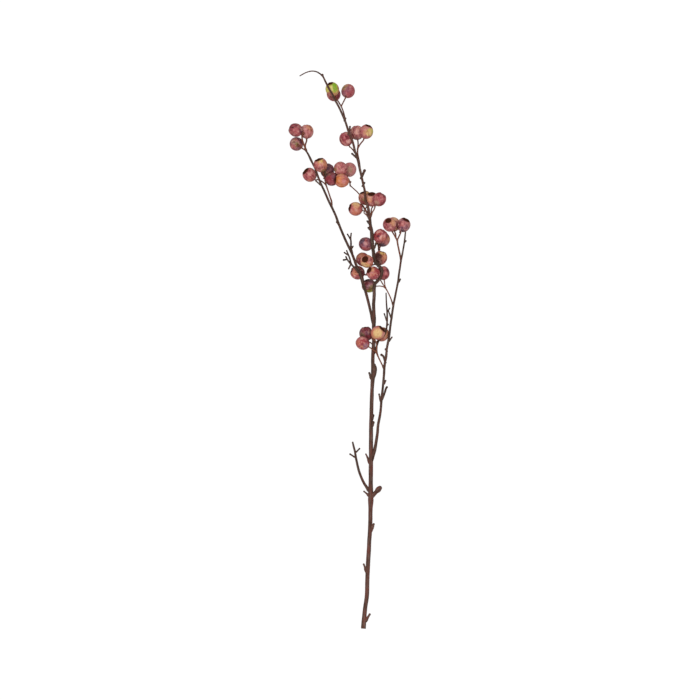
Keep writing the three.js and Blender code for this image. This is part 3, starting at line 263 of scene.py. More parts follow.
# Each berry: its centre by column, row and height, the way its calyx points with +Y toward the tip
# of the branch and +Z up, its slot, its size, its two main tones, and its blushes and painted
# light:
# each patch's tone, where it lies on the side that faces up, as shares of the berry's radius to the
# right and toward the tip, its size in degrees and its strength. The pale blush and pink patches
# near the middle of the top are painted highlights, and the dark slate, plum and wine ones at the
# edge toward the cut end are painted shade.
Berry = namedtuple("Berry", "at calyx slot size tones blushes")
BERRIES = {name: Berry(*row) for name, row in {
    "tip_berry_1": ((332.3, 89.3, 28.1), (-0.3, 0.85, 0.43), "green", 0.98, "straw citron", """
peach 0.3 -0.8 28 0.9, rose -0.35 -0.8 32 0.95, green 0.32 0.6 28 1, green 0.36 0.25 26 1, green 0.4
-0.1 22 1, copper 0.98 0.2 26 1, yellow 0.85 -0.4 20 0.9, butter -0.1 0.25 11 1, butter -0.05 -0.1
13 1"""),
    "tip_berry_2": ((333.6, 94, 9.89), (-0.45, 0.75, -0.48), "plum", 1, "raspberry wine", """
rose 0.5 -0.5 30 0.6"""),
    "tip_berry_3": ((348.1, 91.05, 20), (0.28, 0.73, -0.62), "rose", 1, "raspberry rose", """
mauve -0.65 -0.4 32 0.7, olive -0.5 0.65 34 0.8, tan -0.3 0.85 22 0.7, mauve 0.1 0.3 30 0.7, rose
0.6 0 30 0.6, raspberry 0.2 -0.5 28 0.6"""),
    "left_tip_berry_1": ((295.7, 130, 20.2), (-0.92, 0.36, -0.12),
        "rose", 0.98, "raspberry wine", """
rose 0.05 -0.1 34 0.75, plum 0.85 0 30 0.8, dusty -0.3 -0.6 20 0.5, soot -0.4 0.4 9 0.8"""),
    "left_tip_berry_2": ((306.8, 131.6, 9.54), (0.02, 0.98, -0.18), "rose", 0.98, "pink dusty", """
peach 0.45 0.6 34 0.8, pink -0.1 -0.1 30 0.7, wine -0.85 -0.3 32 0.8, rose 0.3 -0.7 30 0.7"""),
    "left_tip_berry_3": ((296.4, 143.8, 9.86), (-0.2, 0.14, -0.97), "plum", 1, "dusty mauve", """
olive 0.1 -0.15 20 0.8, plum 0.65 0.5 34 0.9, sage -0.4 0.3 26 0.7, rose -0.6 -0.4 28 0.7"""),
    "upper_berry_1": ((346.2, 139, 20), (-0.4, 0.9, -0.2), "rose", 1, "rose raspberry", """
raspberry -0.5 0.4 40 0.9, wine -0.8 -0.1 24 0.6, rose 0.3 -0.7 24 0.6, blush 0.35 -0.4 24 1"""),
    "upper_berry_2": ((357, 132.6, 9.74), (-0.1, 0.98, -0.15), "rose", 1, "pink dusty", """
wine -0.8 0 28 0.7, plum 0.1 -0.85 28 0.7, tan 0.55 0.6 24 0.6, rose 0.2 -0.4 24 0.5, blush 0 0.1 24
0.8"""),
    "upper_berry_3": ((366.3, 131.7, 24), (0.31, 0.91, 0.28), "peach", 1, "dusty rose", """
rose -0.75 0.2 34 0.9, rose 0.1 -0.85 26 0.7, peach -0.1 -0.1 24 0.8, straw 0.6 -0.1 36 1, citron
0.9 0.1 20 0.8, cream 0.4 -0.25 24 1"""),
    "left_berry_1": ((320.5, 164.9, 24.7), (-0.32, 0.9, 0.25), "peach", 1, "dusty salmon", """
rose -0.75 -0.1 32 0.8, peach 0.7 0.2 26 0.7, olive 0.45 -0.85 24 0.7, yellow 0 0.55 26 0.95, blush
0.15 0 20 0.6"""),
    "left_berry_2": ((309.6, 174.7, 12), (-0.7, 0.62, 0.35), "rose", 1, "rose dusty", """
salmon 0.1 -0.85 28 0.7, rose 0.8 0.2 26 0.6, raspberry -0.6 -0.4 24 0.4, blush 0.05 0.1 18 0.6"""),
    "left_berry_3": ((327.3, 170.6, 9.59), (0.4, 0.85, -0.3), "plum", 1, "plum wine", """
moss -0.5 -0.3 32 0.8, slate 0.2 0.45 32 0.6, mauve 0.7 0.3 24 0.6"""),
    # Its dark soot patch on the right is painted shadow of the orange middle_berry_3 above it
    "left_berry_4": ((332.1, 179, 23.6), (0.78, 0.45, -0.43), "plum", 0.98, "wine plum", """
crimson -0.5 0.1 34 0.6, soot 0.8 -0.1 36 0.9, raspberry 0 -0.6 28 0.6, moss -0.45 0.7 20 0.5, mauve
0.15 0.35 18 0.5"""),
    "middle_berry_1": ((340.8, 168.8, 27.4), (-0.45, 0.8, -0.35), "rose", 1, "rose dusty", """
olive -0.85 -0.1 20 0.7, rose -0.2 0.5 32 0.7, pink 0.5 0.1 24 0.6, rose 0.2 -0.7 26 0.5, blush 0
-0.2 14 0.5"""),
    "middle_berry_2": ((349.4, 169.6, 9.82), (0.31, 0.86, -0.4), "plum", 1, "pink dusty", """
sage 0.1 0 30 0.8, rose -0.1 0.85 26 0.6, pink 0.8 -0.2 28 0.9, blush 0.1 -0.75 20 0.5"""),
    "middle_berry_3": ((341.9, 180.7, 37.6), (-0.96, 0.1, 0.2), "peach", 1, "salmon peach", """
orange -0.65 0.1 36 1, orange -0.1 -0.85 26 0.7, salmon 0.5 -0.2 36 0.9, rose 0.6 0.6 28 0.9, pink
0.35 -0.1 20 0.8, crimson -0.95 0 18 0.7"""),
    "centre_berry_1": ((365.3, 198, 10.1), (-0.35, 0.9, 0.25), "peach", 1, "copper tan", """
yellow 0.45 0.75 30 0.7, rose -0.6 0 28 0.6, olive -0.2 -0.3 22 0.6, rose -0.4 -0.7 26 0.8"""),
    "centre_berry_2": ((371.9, 199.4, 27), (-0.06, 0.86, 0.5), "peach", 1, "salmon pink", """
peach -0.45 0.1 32 0.9, rose 0 -0.8 30 0.8, mauve 0.65 -0.4 24 0.6, blush 0.4 0 22 0.6"""),
    "centre_berry_3": ((379.3, 199.5, 43.3), (0.52, 0.84, -0.05),
        "plum", 0.98, "raspberry rose", """
dusty -0.5 -0.1 28 0.7, raspberry 0.5 -0.2 32 0.6, wine 0.5 0.75 28 0.95, sage -0.4 -0.6 26 0.6"""),
    "centre_berry_4": ((355.6, 208.9, 20), (-0.93, 0.22, 0.28), "peach", 1, "salmon rose", """
cream 0.1 0.75 34 1, peach 0.1 0.2 26 0.8, salmon -0.1 -0.6 34 0.9, salmon 0.5 -0.5 26 0.6, rose
-0.8 -0.2 26 0.7, blush 0.1 -0.2 14 0.6"""),
    "right_berry_1": ((389.7, 224.7, 29.3), (-0.21, 0.59, 0.78), "rose", 1, "rose pink", """
peach 0.45 0.35 34 0.9, rose -0.7 -0.2 30 0.6, raspberry 0.2 -0.85 26 0.5, blush 0 -0.3 18 0.6"""),
    "right_berry_2": ((393.4, 224.3, 9.98), (-0.15, 0.82, -0.5), "peach", 1, "peach dusty", """
cream 0.1 0.85 26 0.7, pink 0.6 0.2 28 0.8"""),
    "right_berry_3": ((403.5, 224.9, 23.6), (0.42, 0.84, 0.35), "rose", 1, "dusty mauve", """
rose -0.2 0.2 28 0.7, wine -0.85 -0.1 30 0.7, slate -0.2 -0.85 28 0.9, mauve 0.5 -0.4 30 0.7, blush
0.2 -0.1 12 0.5"""),
    "inner_berry_1": ((380.25, 236.2, 27.9), (0.5, 0.82, -0.1), "rose", 1, "rose raspberry", """
crimson -0.5 0.35 40 0.9, blush 0.15 -0.15 22 0.9, pink 0.55 0.3 22 0.8, salmon 0.5 -0.45 26 0.7,
wine 0 -0.9 24 0.7, plum -0.28 0.05 11 0.9"""),
    "inner_berry_2": ((383.1, 239.5, 9.59), (0.35, 0.88, -0.3), "plum", 1, "rose dusty", """
peach 0.85 0.15 26 0.9, pink 0.5 -0.4 26 0.6, slate -0.1 -0.85 30 0.9"""),
    "inner_berry_3": ((366.05, 244.1, 17), (-0.85, 0.3, -0.4), "plum", 1, "mauve rose", """
slate -0.6 0.55 32 0.8, rose 0 -0.8 34 0.8, wine 0.8 0.3 26 0.7, bloom -0.2 -0.1 26 0.5, blush 0 0.1
20 0.5"""),
    "fork_berry_1": ((366.9, 261.3, 37.2), (-0.3, 0.31, 0.9), "peach", 0.96, "salmon peach", """
pink 0.62 0.2 32 0.8, copper 0.1 0.85 26 0.5, yellow 0.1 -0.75 24 0.7, salmon 0.7 -0.4 26 0.7, cream
-0.5 -0.6 30 1, blush 0.4 -0.1 14 0.5"""),
    "fork_berry_2": ((362.8, 259.4, 14), (-0.3, 0.7, -0.65), "rose", 0.98, "copper raspberry", """
copper -0.3 0.7 34 0.9, wine -0.65 -0.45 36 0.9"""),
    # Its two dark umber patches on the left are painted shadow, where the main stem lies above it
    "fork_berry_3": ((380.4, 257.9, 20), (0.3, 0.93, 0.05), "plum", 1, "dusty salmon", """
peach 0.65 -0.15 30 0.8, rose 0.5 -0.6 28 0.7, umber -0.4 0.15 44 1, umber -0.2 -0.65 32 1, yellow
0.35 0.7 24 1"""),
    "fork_berry_4": ((373.3, 273.1, 33.6), (-0.66, 0.44, 0.61), "rose", 0.96, "rose raspberry", """
peach -0.1 0.6 24 0.9, crimson 0.6 0.3 32 0.8, salmon -0.3 -0.35 20 0.7, raspberry 0.15 -0.8 28 0.7,
peach 0.1 -0.1 12 0.7, crimson 0.35 -0.35 10 0.7"""),
    "fork_berry_5": ((383.1, 273, 16.5), (-0.15, 0.95, -0.2), "plum", 0.96, "raspberry rose", """
wine -0.5 0.2 32 0.7, wine 0.1 -0.7 28 0.5, plum 0.8 0.3 24 0.6, pink 0.35 0 20 0.6"""),
    "fork_berry_6": ((357.6, 272.6, 9.56), (-0.95, 0.26, 0.15), "peach", 1, "salmon rose", """
peach -0.45 -0.1 30 0.5, wine 0.75 0.2 34 0.9, rose -0.1 -0.8 24 0.6, blush -0.5 -0.4 12 0.5"""),
    "fork_berry_7": ((369, 285.7, 12), (-0.9, 0.05, -0.43), "plum", 1, "mauve dusty", """
soot -0.2 0.85 32 0.9, wine -0.35 0.1 26 0.8, soot 0.8 0.3 26 0.7, bloom 0 -0.1 20 0.8, olive 0.35
-0.35 26 0.8, leaf 0.05 -0.88 28 0.95"""),
    "lower_berry_1": ((362.7, 343.2, 23.3), (-0.8, 0.48, -0.35), "rose", 0.97, "rose raspberry", """
salmon -0.7 0.1 24 1, bloom 0.4 -0.45 26 0.8, crimson 0.05 0.25 24 0.6, peach -0.15 -0.5 13 0.7,
pink -0.05 0.8 20 0.7, pink 0.2 0 12 0.7"""),
    "lower_berry_2": ((366.1, 333.7, 9.71), (-0.1, 0.97, 0.1), "plum", 1, "wine plum", """
wine -0.2 0.6 30 0.6, crimson 0.5 -0.5 24 0.5, moss -0.6 -0.25 28 0.8, mauve 0.1 0.15 18 0.7"""),
    "lower_berry_3": ((378, 332.7, 35.6), (0.7, 0.65, 0.3), "peach", 1, "peach salmon", """
rose -0.3 0.92 28 1, rose -0.1 -0.97 26 0.9, salmon -0.92 0.1 26 1, pink 0.75 -0.3 24 0.8, cream
-0.05 -0.1 42 1"""),
    "lower_berry_4": ((382.1, 334.4, 9.65), (0.55, 0.8, -0.2), "peach", 1, "salmon peach", """
rose -0.4 -0.5 30 0.6, salmon 0.05 -0.85 26 0.7, peach 0.6 -0.1 28 0.9, olive 0.35 0.6 28 0.8"""),
}.items()}

# Shown colours, as sRGB. Blush is a pale pink: in patches near the middle of a berry's top it is a
# painted highlight, and in the berries' pale mottling it is a random lighter tone.
TONES = {
    "rose": (184, 100, 102), "dusty": (190, 122, 116), "pink": (206, 134, 132),
    "raspberry": (168, 80, 88), "crimson": (164, 58, 60), "wine": (128, 58, 66),
    "plum": (104, 58, 72), "mauve": (146, 96, 110), "bloom": (158, 120, 136),
    "slate": (88, 76, 90), "peach": (214, 152, 112), "salmon": (208, 122, 100),
    "orange": (208, 122, 64), "copper": (176, 110, 82), "tan": (190, 138, 98),
    "yellow": (220, 186, 112), "citron": (200, 196, 92), "green": (136, 178, 42),
    "olive": (132, 124, 66), "moss": (104, 92, 66), "sage": (184, 152, 124),
    "soot": (52, 34, 34), "cream": (232, 194, 134), "blush": (224, 168, 158),
    "leaf": (160, 168, 46), "umber": (84, 52, 46), "straw": (206, 190, 96),
    "butter": (222, 206, 126),
}

# How strong the mottling is on the berries with a smoother skin
SMOOTH = {
    "tip_berry_1": 0.3, "tip_berry_3": 0.6, "left_tip_berry_1": 0.65, "upper_berry_3": 0.6,
    "left_berry_4": 0.6, "middle_berry_2": 0.6, "middle_berry_3": 0.6, "centre_berry_4": 0.4,
    "fork_berry_2": 0.7, "lower_berry_1": 0.7, "lower_berry_3": 0.35,
}

# Bark and stalks from the cut end to the tip, as sRGB
BARK_TONES = [
    (0.0, (84, 60, 48)), (0.025, (102, 70, 61)), (0.22, (100, 67, 58)), (0.42, (84, 61, 52)),
    (0.68, (74, 56, 47)), (0.86, (80, 58, 49)), (0.93, (88, 62, 53)), (1.0, (84, 52, 44)),
]
STALK_TONES = [(0.0, (138, 86, 66)), (0.5, (132, 80, 62)), (1.0, (112, 62, 48))]
TWIG_TONES = [(0.0, (92, 65, 55)), (0.6, (72, 52, 44)), (1.0, (72, 53, 44))]


# ------ shapes


def place(column, row, height):
    """The point in mm of a place in the picture."""
    return np.array([
        (column - ORIGIN_COLUMN) * MM_PER_PIXEL + MIDDLE[0],
        (ORIGIN_ROW - row) * MM_PER_PIXEL + MIDDLE[1],
        height,
    ])


def knots(text):
    """The point and radius of each row of a route, as one array."""
    rows = [[float(value) for value in row.split()] for row in text.split(",")]
    return np.array([[*place(*row[:3]), row[3]] for row in rows])


def unit(vectors):
    """Vectors of length 1."""
    return vectors / np.linalg.norm(vectors, axis=-1, keepdims=True)


def through(route, spacing):
    """Points and radii along the centripetal Catmull-Rom curve through a route."""
    ends = 2 * route[0] - route[1], 2 * route[-1] - route[-2]
    p = np.vstack([ends[0], route, ends[1]])
    rows = []
    for a, b, c, d in zip(p, p[1:], p[2:], p[3:]):
        before, here, after = (
            max(1e-4, np.linalg.norm(w[:3] - v[:3])) ** 0.5 for v, w in ((a, b), (b, c), (c, d))
        )
        leave = here * ((b - a) / before - (c - a) / (before + here) + (c - b) / here)
        arrive = here * ((c - b) / here - (d - b) / (here + after) + (d - c) / after)
        count = max(2, math.ceil(here ** 2 / spacing))
        t = (np.arange(count) / count)[:, None]
        curve = (
            b + leave * t + (3 * (c - b) - 2 * leave - arrive) * t ** 2
            + (2 * (b - c) + leave + arrive) * t ** 3
        )
        ease = t[:, 0] ** 2 * (3 - 2 * t[:, 0])
        curve[:, 3] = b[3] + (c[3] - b[3]) * ease
        rows.append(curve)
    return np.vstack([*rows, route[-1]])


def grain(points):
    """Smooth noise from -1 to 1 at each point."""
    return np.array([noise.noise(Vector(point)) for point in points])


def depth_in(points, carrier):
    """How far outside the skin of a limb each point lies, and that limb's radius there."""
    gaps = np.linalg.norm(points[:, None, :3] - carrier[None, :, :3], axis=2)
    nearest = gaps.argmin(axis=1)
    return gaps[np.arange(len(points)), nearest] - carrier[nearest, 3], carrier[nearest, 3]


def flare(path, carrier, most=0.75):
    """Thickens the foot of a limb where it leaves the limb that carries it."""
    outside, room = depth_in(path, carrier)
    grow = np.clip(0.9 * room / path[:, 3] - 1, 0, most)
    path[:, 3] *= 1 + grow * np.exp(-np.maximum(outside, 0) / (0.9 * path[:, 3]))
    return path


ROUND_END = [(math.sin(t), math.cos(t)) for t in np.radians([25, 50, 72])]
# The sawn end of the main stem: bark edge, wood and pith, out along the stem and across it
CUT_END = [
    (0.05, 0.97), (0.09, 0.92), (0.085, 0.87), (0.05, 0.85), (0.06, 0.7), (0.05, 0.5),
    (0.06, 0.3), (0.04, 0.19), (-0.05, 0.15), (-0.1, 0.08),
]
WOOD_EDGE = 0.88                # where its bark ends and its wood begins, across
SKEW = [0.31, 0.17, 0.93]       # a direction that no limb starts along


def ring_faces(count, sides):
    """The faces of a closed shell of rings whose last two corners are the middles of its ends."""
    faces = []
    for k in range(count - 1):
        a, b = k * sides, (k + 1) * sides
        for s in range(sides):
            n = (s + 1) % sides
            faces.append((a + s, a + n, b + n, b + s))
    last = (count - 1) * sides
    for s in range(sides):
        n = (s + 1) % sides
        faces.append((n, s, count * sides))
        faces.append((last + s, last + n, count * sides + 1))
    return faces


def tube(path, sides, seed, bark, foot=ROUND_END):
    """A closed shell along a path, with bark ridges, as corners, faces and bark places."""
    points, radii = path[:, :3], path[:, 3]
    tangents = unit(np.gradient(points, axis=0))
    along = np.concatenate([[0], np.cumsum(np.linalg.norm(np.diff(points, axis=0), axis=1))])
    side = [unit(np.cross(tangents[0], SKEW))]
    for tangent in tangents[1:]:
        side.append(unit(side[-1] - tangent * np.dot(side[-1], tangent)))
    # Each ring: its middle, its radius, the point of the path it belongs to and its share of bark
    rings = [(points[0] - tangents[0] * out * radii[0], radii[0] * width, 0, 0.0)
             for out, width in reversed(foot)]
    rings += [(point, radius, i, 1.0) for i, (point, radius) in enumerate(zip(points, radii))]
    rings += [(points[-1] + tangents[-1] * out * radii[-1], radii[-1] * width, -1, 0.3)
              for out, width in ROUND_END]
    turns = np.arange(sides) * 2 * math.pi / sides
    circle = np.stack([np.cos(turns), np.sin(turns)], axis=1)
    corners, places = [], []
    for centre, radius, i, rough in rings:
        across = np.stack([side[i], np.cross(tangents[i], side[i])])
        corners.append((centre, circle @ across, radius, rough))
        places.append(np.column_stack([circle * radius, np.full(sides, along[i])]))
    places = np.vstack(places)
    height = np.zeros(len(places))
    for size, over, down in bark:
        height += size * grain(places * [over, over, down] + seed)
    height = height.reshape(-1, sides)
    shell = np.vstack([
        centre + out * (radius + height[k][:, None] * min(1, radius) * rough)
        for k, (centre, out, radius, rough) in enumerate(corners)
    ])
    start = rings[0][0] - tangents[0] * (0.02 if foot is ROUND_END else -0.02)
    shell = np.vstack([shell, start, rings[-1][0] + tangents[-1] * 0.04])
    places = np.vstack([places, [0, 0, 0], [0, 0, along[-1]]])
    cut = np.zeros(len(shell))
    if foot is CUT_END:
        inner = sum(1 for _, width in foot if width <= WOOD_EDGE)
        cut[:inner * sides] = 1
        cut[-2] = 1
    faces = ring_faces(len(rings), sides)
    return {"corners": shell, "faces": faces, "bark_at": places + seed, "cut": cut}


def raw_mesh(name, corners, faces):
    """A mesh from corners and faces."""
    mesh = bpy.data.meshes.new(name)
    mesh.from_pydata(corners.tolist(), [], faces)
    return mesh


def tree_of(points):
    """A tree that finds the nearest of some points."""
    tree = KDTree(len(points))
    for i, point in enumerate(points):
        tree.insert(point, i)
    tree.balance()
    return tree


def soften(corners, mesh, seams, reach=1.1, rounds=5):
    """Rounds the creases within reach of the seams where limbs join."""
    ends = np.zeros(len(mesh.edges) * 2, int)
    mesh.edges.foreach_get("vertices", ends)
    a, b = ends.reshape(-1, 2).T
    tree = tree_of(corners[seams])
    gap = np.array([tree.find(corner)[2] for corner in corners])
    pull = 0.6 * np.clip(1 - (gap / reach) ** 2, 0, 1)[:, None]
    degree = np.bincount(np.concatenate([a, b]), minlength=len(corners))[:, None]
    for _ in range(rounds):
        total = np.zeros_like(corners)
        np.add.at(total, a, corners[b])
        np.add.at(total, b, corners[a])
        corners = corners + pull * (total / degree - corners)
    return corners


ON_SHELL = 2e-3                 # a corner farther than this from the shells' own is on a seam, mm


def grow_together(name, shells):
    """One closed mesh in mm of overlapping shells, with each corner's marks."""
    objects = []
    for i, shell in enumerate(shells):
        limb = bpy.data.objects.new(
            f"{name}_{i}", raw_mesh(f"{name}_{i}", shell["corners"], shell["faces"]))
        bpy.context.scene.collection.objects.link(limb)
        objects.append(limb)
    if len(shells) > 1:
        others = bpy.data.collections.new(name + "_limbs")
        for limb in objects[1:]:
            others.objects.link(limb)
        join = objects[0].modifiers.new("join", "BOOLEAN")
        join.operation = "UNION"
        join.operand_type = "COLLECTION"
        join.collection = others
        join.solver = "MANIFOLD"
    bpy.context.view_layer.update()
    graph = bpy.context.evaluated_depsgraph_get()
    mesh = bpy.data.meshes.new_from_object(objects[0].evaluated_get(graph))
    for limb in objects:
        data = limb.data
        bpy.data.objects.remove(limb)
        bpy.data.meshes.remove(data)
    corners = np.zeros(len(mesh.vertices) * 3)
    mesh.vertices.foreach_get("co", corners)
    corners = corners.reshape(-1, 3)
    tree = tree_of(np.vstack([shell["corners"] for shell in shells]))
    found = [tree.find(corner) for corner in corners]
    nearest = np.array([hit[1] for hit in found])
    gap = np.array([hit[2] for hit in found])
    marks = {
        key: np.concatenate([shell[key] for shell in shells])[nearest]
        for key in shells[0] if key not in ("corners", "faces")
    }
    seams = np.flatnonzero(gap > ON_SHELL)
    if len(seams):
        corners = soften(corners, mesh, seams)
    mesh.name = name
    return mesh, corners, marks


def settle(mesh, corners, marks):
    """Puts corners in metres, and stores marks as attributes of the mesh."""
    mesh.vertices.foreach_set("co", (corners / 1000).astype(np.float32).ravel())
    for key, values in marks.items():
        kind = "FLOAT_VECTOR" if values.ndim == 2 else "FLOAT"
        field = mesh.attributes.new(key, kind, "POINT")
        field.data.foreach_set(
            "vector" if values.ndim == 2 else "value", values.astype(np.float32).ravel())
    mesh.shade_smooth()
    mesh.update()


def add_piece(name, mesh, material, node):
    """A finished piece that stands for a CAD node."""
    piece = bpy.data.objects.new(name, mesh)
    bpy.context.scene.collection.objects.link(piece)
    mesh.materials.clear()
    mesh.materials.append(material)
    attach(piece, "root")
    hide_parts(node)


# ------ materials


def linear(tone):
    """An sRGB tone as the colour that shows as that tone in this light."""
    shares = [c / 255 for c in tone]
    values = [c / 12.92 if c <= 0.04045 else ((c + 0.055) / 1.055) ** 2.4 for c in shares]
    return (*[value / GAIN for value in values], 1.0)


class Surface:
    """A material's node tree, and short ways to add to it."""

    def __init__(self, name):
        self.material = bpy.data.materials.new(name)
        self.material.use_nodes = True
        self.tree = self.material.node_tree
        self.shader = self.tree.nodes["Principled BSDF"]

    def node(self, kind, sockets, **settings):
        made = self.tree.nodes.new(kind)
        for key, value in settings.items():
            setattr(made, key, value)
        for key, value in sockets.items():
            if isinstance(value, bpy.types.NodeSocket):
                self.tree.links.new(value, made.inputs[key])
            else:
                made.inputs[key].default_value = value
        return made

    def mark(self, name, output="Vector"):
        return self.node("ShaderNodeAttribute", {}, attribute_name=name).outputs[output]

    def scaled(self, vector, scale):
        return self.vector("MULTIPLY", vector, scale)

    def noise(self, vector, scale, detail=2.0, seed=0.0, rough=0.5, output="Fac"):
        return self.node(
            "ShaderNodeTexNoise",
            {"Vector": vector, "W": seed, "Scale": scale, "Detail": detail, "Roughness": rough},
            noise_dimensions="4D",
        ).outputs[output]

    def dots(self, vector, scale):
        return self.node(
            "ShaderNodeTexVoronoi", {"Vector": vector, "Scale": scale}).outputs["Distance"]

    def ease(self, value, low, high, start=0.0, end=1.0):
        return self.node(
            "ShaderNodeMapRange",
            {"Value": value, "From Min": low, "From Max": high, "To Min": start, "To Max": end},
            interpolation_type="SMOOTHSTEP",
        ).outputs["Result"]

    def math(self, operation, a, b):
        return self.node("ShaderNodeMath", {0: a, 1: b}, operation=operation).outputs[0]

    def mix(self, factor, a, b, blend="MIX"):
        return self.node(
            "ShaderNodeMix", {0: factor, 6: a, 7: b}, data_type="RGBA", blend_type=blend,
        ).outputs[2]

    def tint(self, colour, value, low, high, strength, tone, blend="MIX"):
        """A colour, tinted where a value runs from low to high."""
        return self.mix(self.ease(value, low, high, 0, strength), colour, tone, blend)

    def vector(self, operation, a, b, output=0):
        return self.node(
            "ShaderNodeVectorMath", {0: a, 1: b}, operation=operation).outputs[output]

    def ramp(self, value, stops):
        made = self.node("ShaderNodeValToRGB", {"Fac": value})
        band = made.color_ramp
        while len(band.elements) < len(stops):
            band.elements.new(0.5)
        for element, (position, tone) in zip(band.elements, stops):
            element.position = position
            element.color = linear(tone)
        return made.outputs["Color"]

    def finish(self, colour, roughness, relief, height, specular):
        self.tree.links.new(colour, self.shader.inputs["Base Color"])
        self.tree.links.new(roughness, self.shader.inputs["Roughness"])
        self.shader.inputs["Specular IOR Level"].default_value = specular
        bump = self.node(
            "ShaderNodeBump", {"Height": relief, "Strength": 0.8, "Distance": height})
        self.tree.links.new(bump.outputs["Normal"], self.shader.inputs["Normal"])
        return self.material


def berry_material(name, index):
    """The mottled, blushed skin of one berry, with its dark calyx, painted highlights and painted
    shade.
    """
    main, second = BERRIES[name].tones.split()
    even = SMOOTH.get(name, 1)
    light = even * (0.45 if BERRIES[name].slot == "plum" else 1)
    s = Surface(name + "_skin")
    seen, grown = s.mark("seen"), s.mark("grown")
    seed = 3.7 * index
    shift = s.noise(seen, 2.6, 3, seed, 0.55, "Color")
    shift = s.vector("SUBTRACT", shift, (0.5, 0.5, 0.5))
    warped = s.vector("ADD", s.scaled(shift, (0.6, 0.6, 0.6)), seen)
    warped = s.node("ShaderNodeVectorMath", {0: warped}, operation="NORMALIZE").outputs[0]
    colour = s.mix(
        s.ease(s.noise(warped, 1.8, 2, seed + 1), 0.42, 0.6),
        linear(TONES[main]), linear(TONES[second]))
    # Patches on the side that faces up: blushes of the skin, painted highlights where pale ones lie
    # near the middle of the top, and painted shade and shadow where dark ones lie low or under a
    # stem
    for blush in BERRIES[name].blushes.split(","):
        tone, *numbers = blush.split()
        across, up, size, strength = map(float, numbers)
        toward = Vector((across, up, math.sqrt(max(0.02, 1 - across ** 2 - up ** 2)))).normalized()
        facing = s.vector("DOT_PRODUCT", warped, toward, "Value")
        outer, inner = math.cos(math.radians(size * 1.25)), math.cos(math.radians(size * 0.45))
        colour = s.tint(colour, facing, outer, inner, strength, linear(TONES[tone]))
    cloud = s.noise(grown, 2.0, 2, seed + 3, 0.5)
    colour = s.tint(colour, cloud, 0.47, 0.38, 0.75 * even, (0.5, 0.3, 0.38, 1), "MULTIPLY")
    colour = s.tint(colour, cloud, 0.55, 0.66, 0.65 * light, linear(TONES["blush"]))
    meridians = s.noise(s.scaled(grown, (1, 1, 0.22)), 3.2, 2, seed + 2, 0.5)
    colour = s.tint(colour, meridians, 0.54, 0.64, 0.6 * even, (0.62, 0.3, 0.34, 1), "MULTIPLY")
    colour = s.tint(colour, meridians, 0.44, 0.34, 0.45 * light, linear((232, 178, 148)))
    mottle = s.noise(grown, 5, 3, seed + 4, 0.55)
    colour = s.tint(colour, mottle, 0.5, 0.62, 0.35 * even, (0.52, 0.36, 0.44, 1), "MULTIPLY")
    colour = s.tint(colour, mottle, 0.46, 0.36, 0.2 * light, linear(TONES["blush"]))
    colour = s.tint(colour, s.dots(grown, 9.0), 0.16, 0.08, 0.25 * light, linear((226, 190, 170)))
    # Painted shade: each berry turns darker and redder toward its sides and underside, as its skin
    # stops facing up
    upward = s.node("ShaderNodeSeparateXYZ", {0: seen}).outputs["Z"]
    colour = s.tint(colour, upward, 0.6, 0.1, 1, (1.0, 0.86, 0.78, 1), "MULTIPLY")
    dark = s.mark("calyx", "Fac")
    husk = s.mix(
        s.noise(grown, 9, 3, seed, 0.7), linear((50, 20, 10)), linear((88, 44, 26)))
    colour = s.tint(colour, dark, 0.0, 0.5, 0.85, linear((104, 40, 30)))
    colour = s.tint(colour, dark, 0.45, 0.85, 1, husk)
    rough = s.math("MAXIMUM", s.ease(mottle, 0.2, 0.8, 0.5, 0.66), dark)
    fine = s.noise(grown, 22, 4, seed + 6, 0.6)
    return s.finish(colour, rough, fine, 0.00025, 0.08)


def bark_material(name, tones, red, grey, dark, seed):
    """Streaked bark that changes along the branch, with pale dots and fissures."""
    s = Surface(name)
    red, grey, dark = ((linear(tone), strength) for tone, strength in (red, grey, dark))
    at = s.mark("bark_at")
    colour = s.ramp(s.mark("tint", "Fac"), tones)
    blotch = s.noise(s.scaled(at, (0.28, 0.28, 0.05)), 1.0, 3, seed, 0.6)
    low = s.ease(s.mark("tint", "Fac"), 0.6, 0.2, 0.5, 1.15)
    reddened = s.math("MULTIPLY", s.ease(blotch, 0.5, 0.6, 0, red[1]), low)
    colour = s.mix(reddened, colour, red[0])
    colour = s.tint(colour, blotch, 0.47, 0.37, dark[1], dark[0])
    streak = s.noise(s.scaled(at, (0.8, 0.8, 0.06)), 1.0, 4, seed + 2, 0.6)
    colour = s.tint(colour, streak, 0.52, 0.64, grey[1], grey[0])
    fissure = s.noise(s.scaled(at, (1.9, 1.9, 0.3)), 1.0, 4, seed + 5, 0.7)
    colour = s.tint(colour, fissure, 0.5, 0.3, dark[1], dark[0])
    ring = s.noise(s.scaled(at, (0.05, 0.05, 0.55)), 1.0, 3, seed + 8, 0.6)
    colour = s.tint(colour, ring, 0.6, 0.75, 0.45, dark[0])
    pores = s.dots(s.scaled(at, (0.9, 0.9, 0.45)), 1.0)
    colour = s.tint(colour, pores, 0.22, 0.1, 0.4, linear((176, 142, 122)))
    colour = s.tint(colour, s.mark("foot", "Fac"), 0.2, 0.9, 0.75, linear((86, 62, 54)))
    wood = s.noise(s.scaled(at, (2.4, 2.4, 0.2)), 1.0, 3, seed + 11, 0.5)
    timber = s.mix(wood, linear((206, 172, 128)), linear((166, 122, 84)))
    colour = s.mix(s.mark("cut", "Fac"), colour, timber)
    relief = s.mix(0.5, fissure, streak)
    rough = s.ease(fissure, 0.3, 0.7, 0.9, 0.72)
    return s.finish(colour, rough, relief, 0.0004, 0.1)


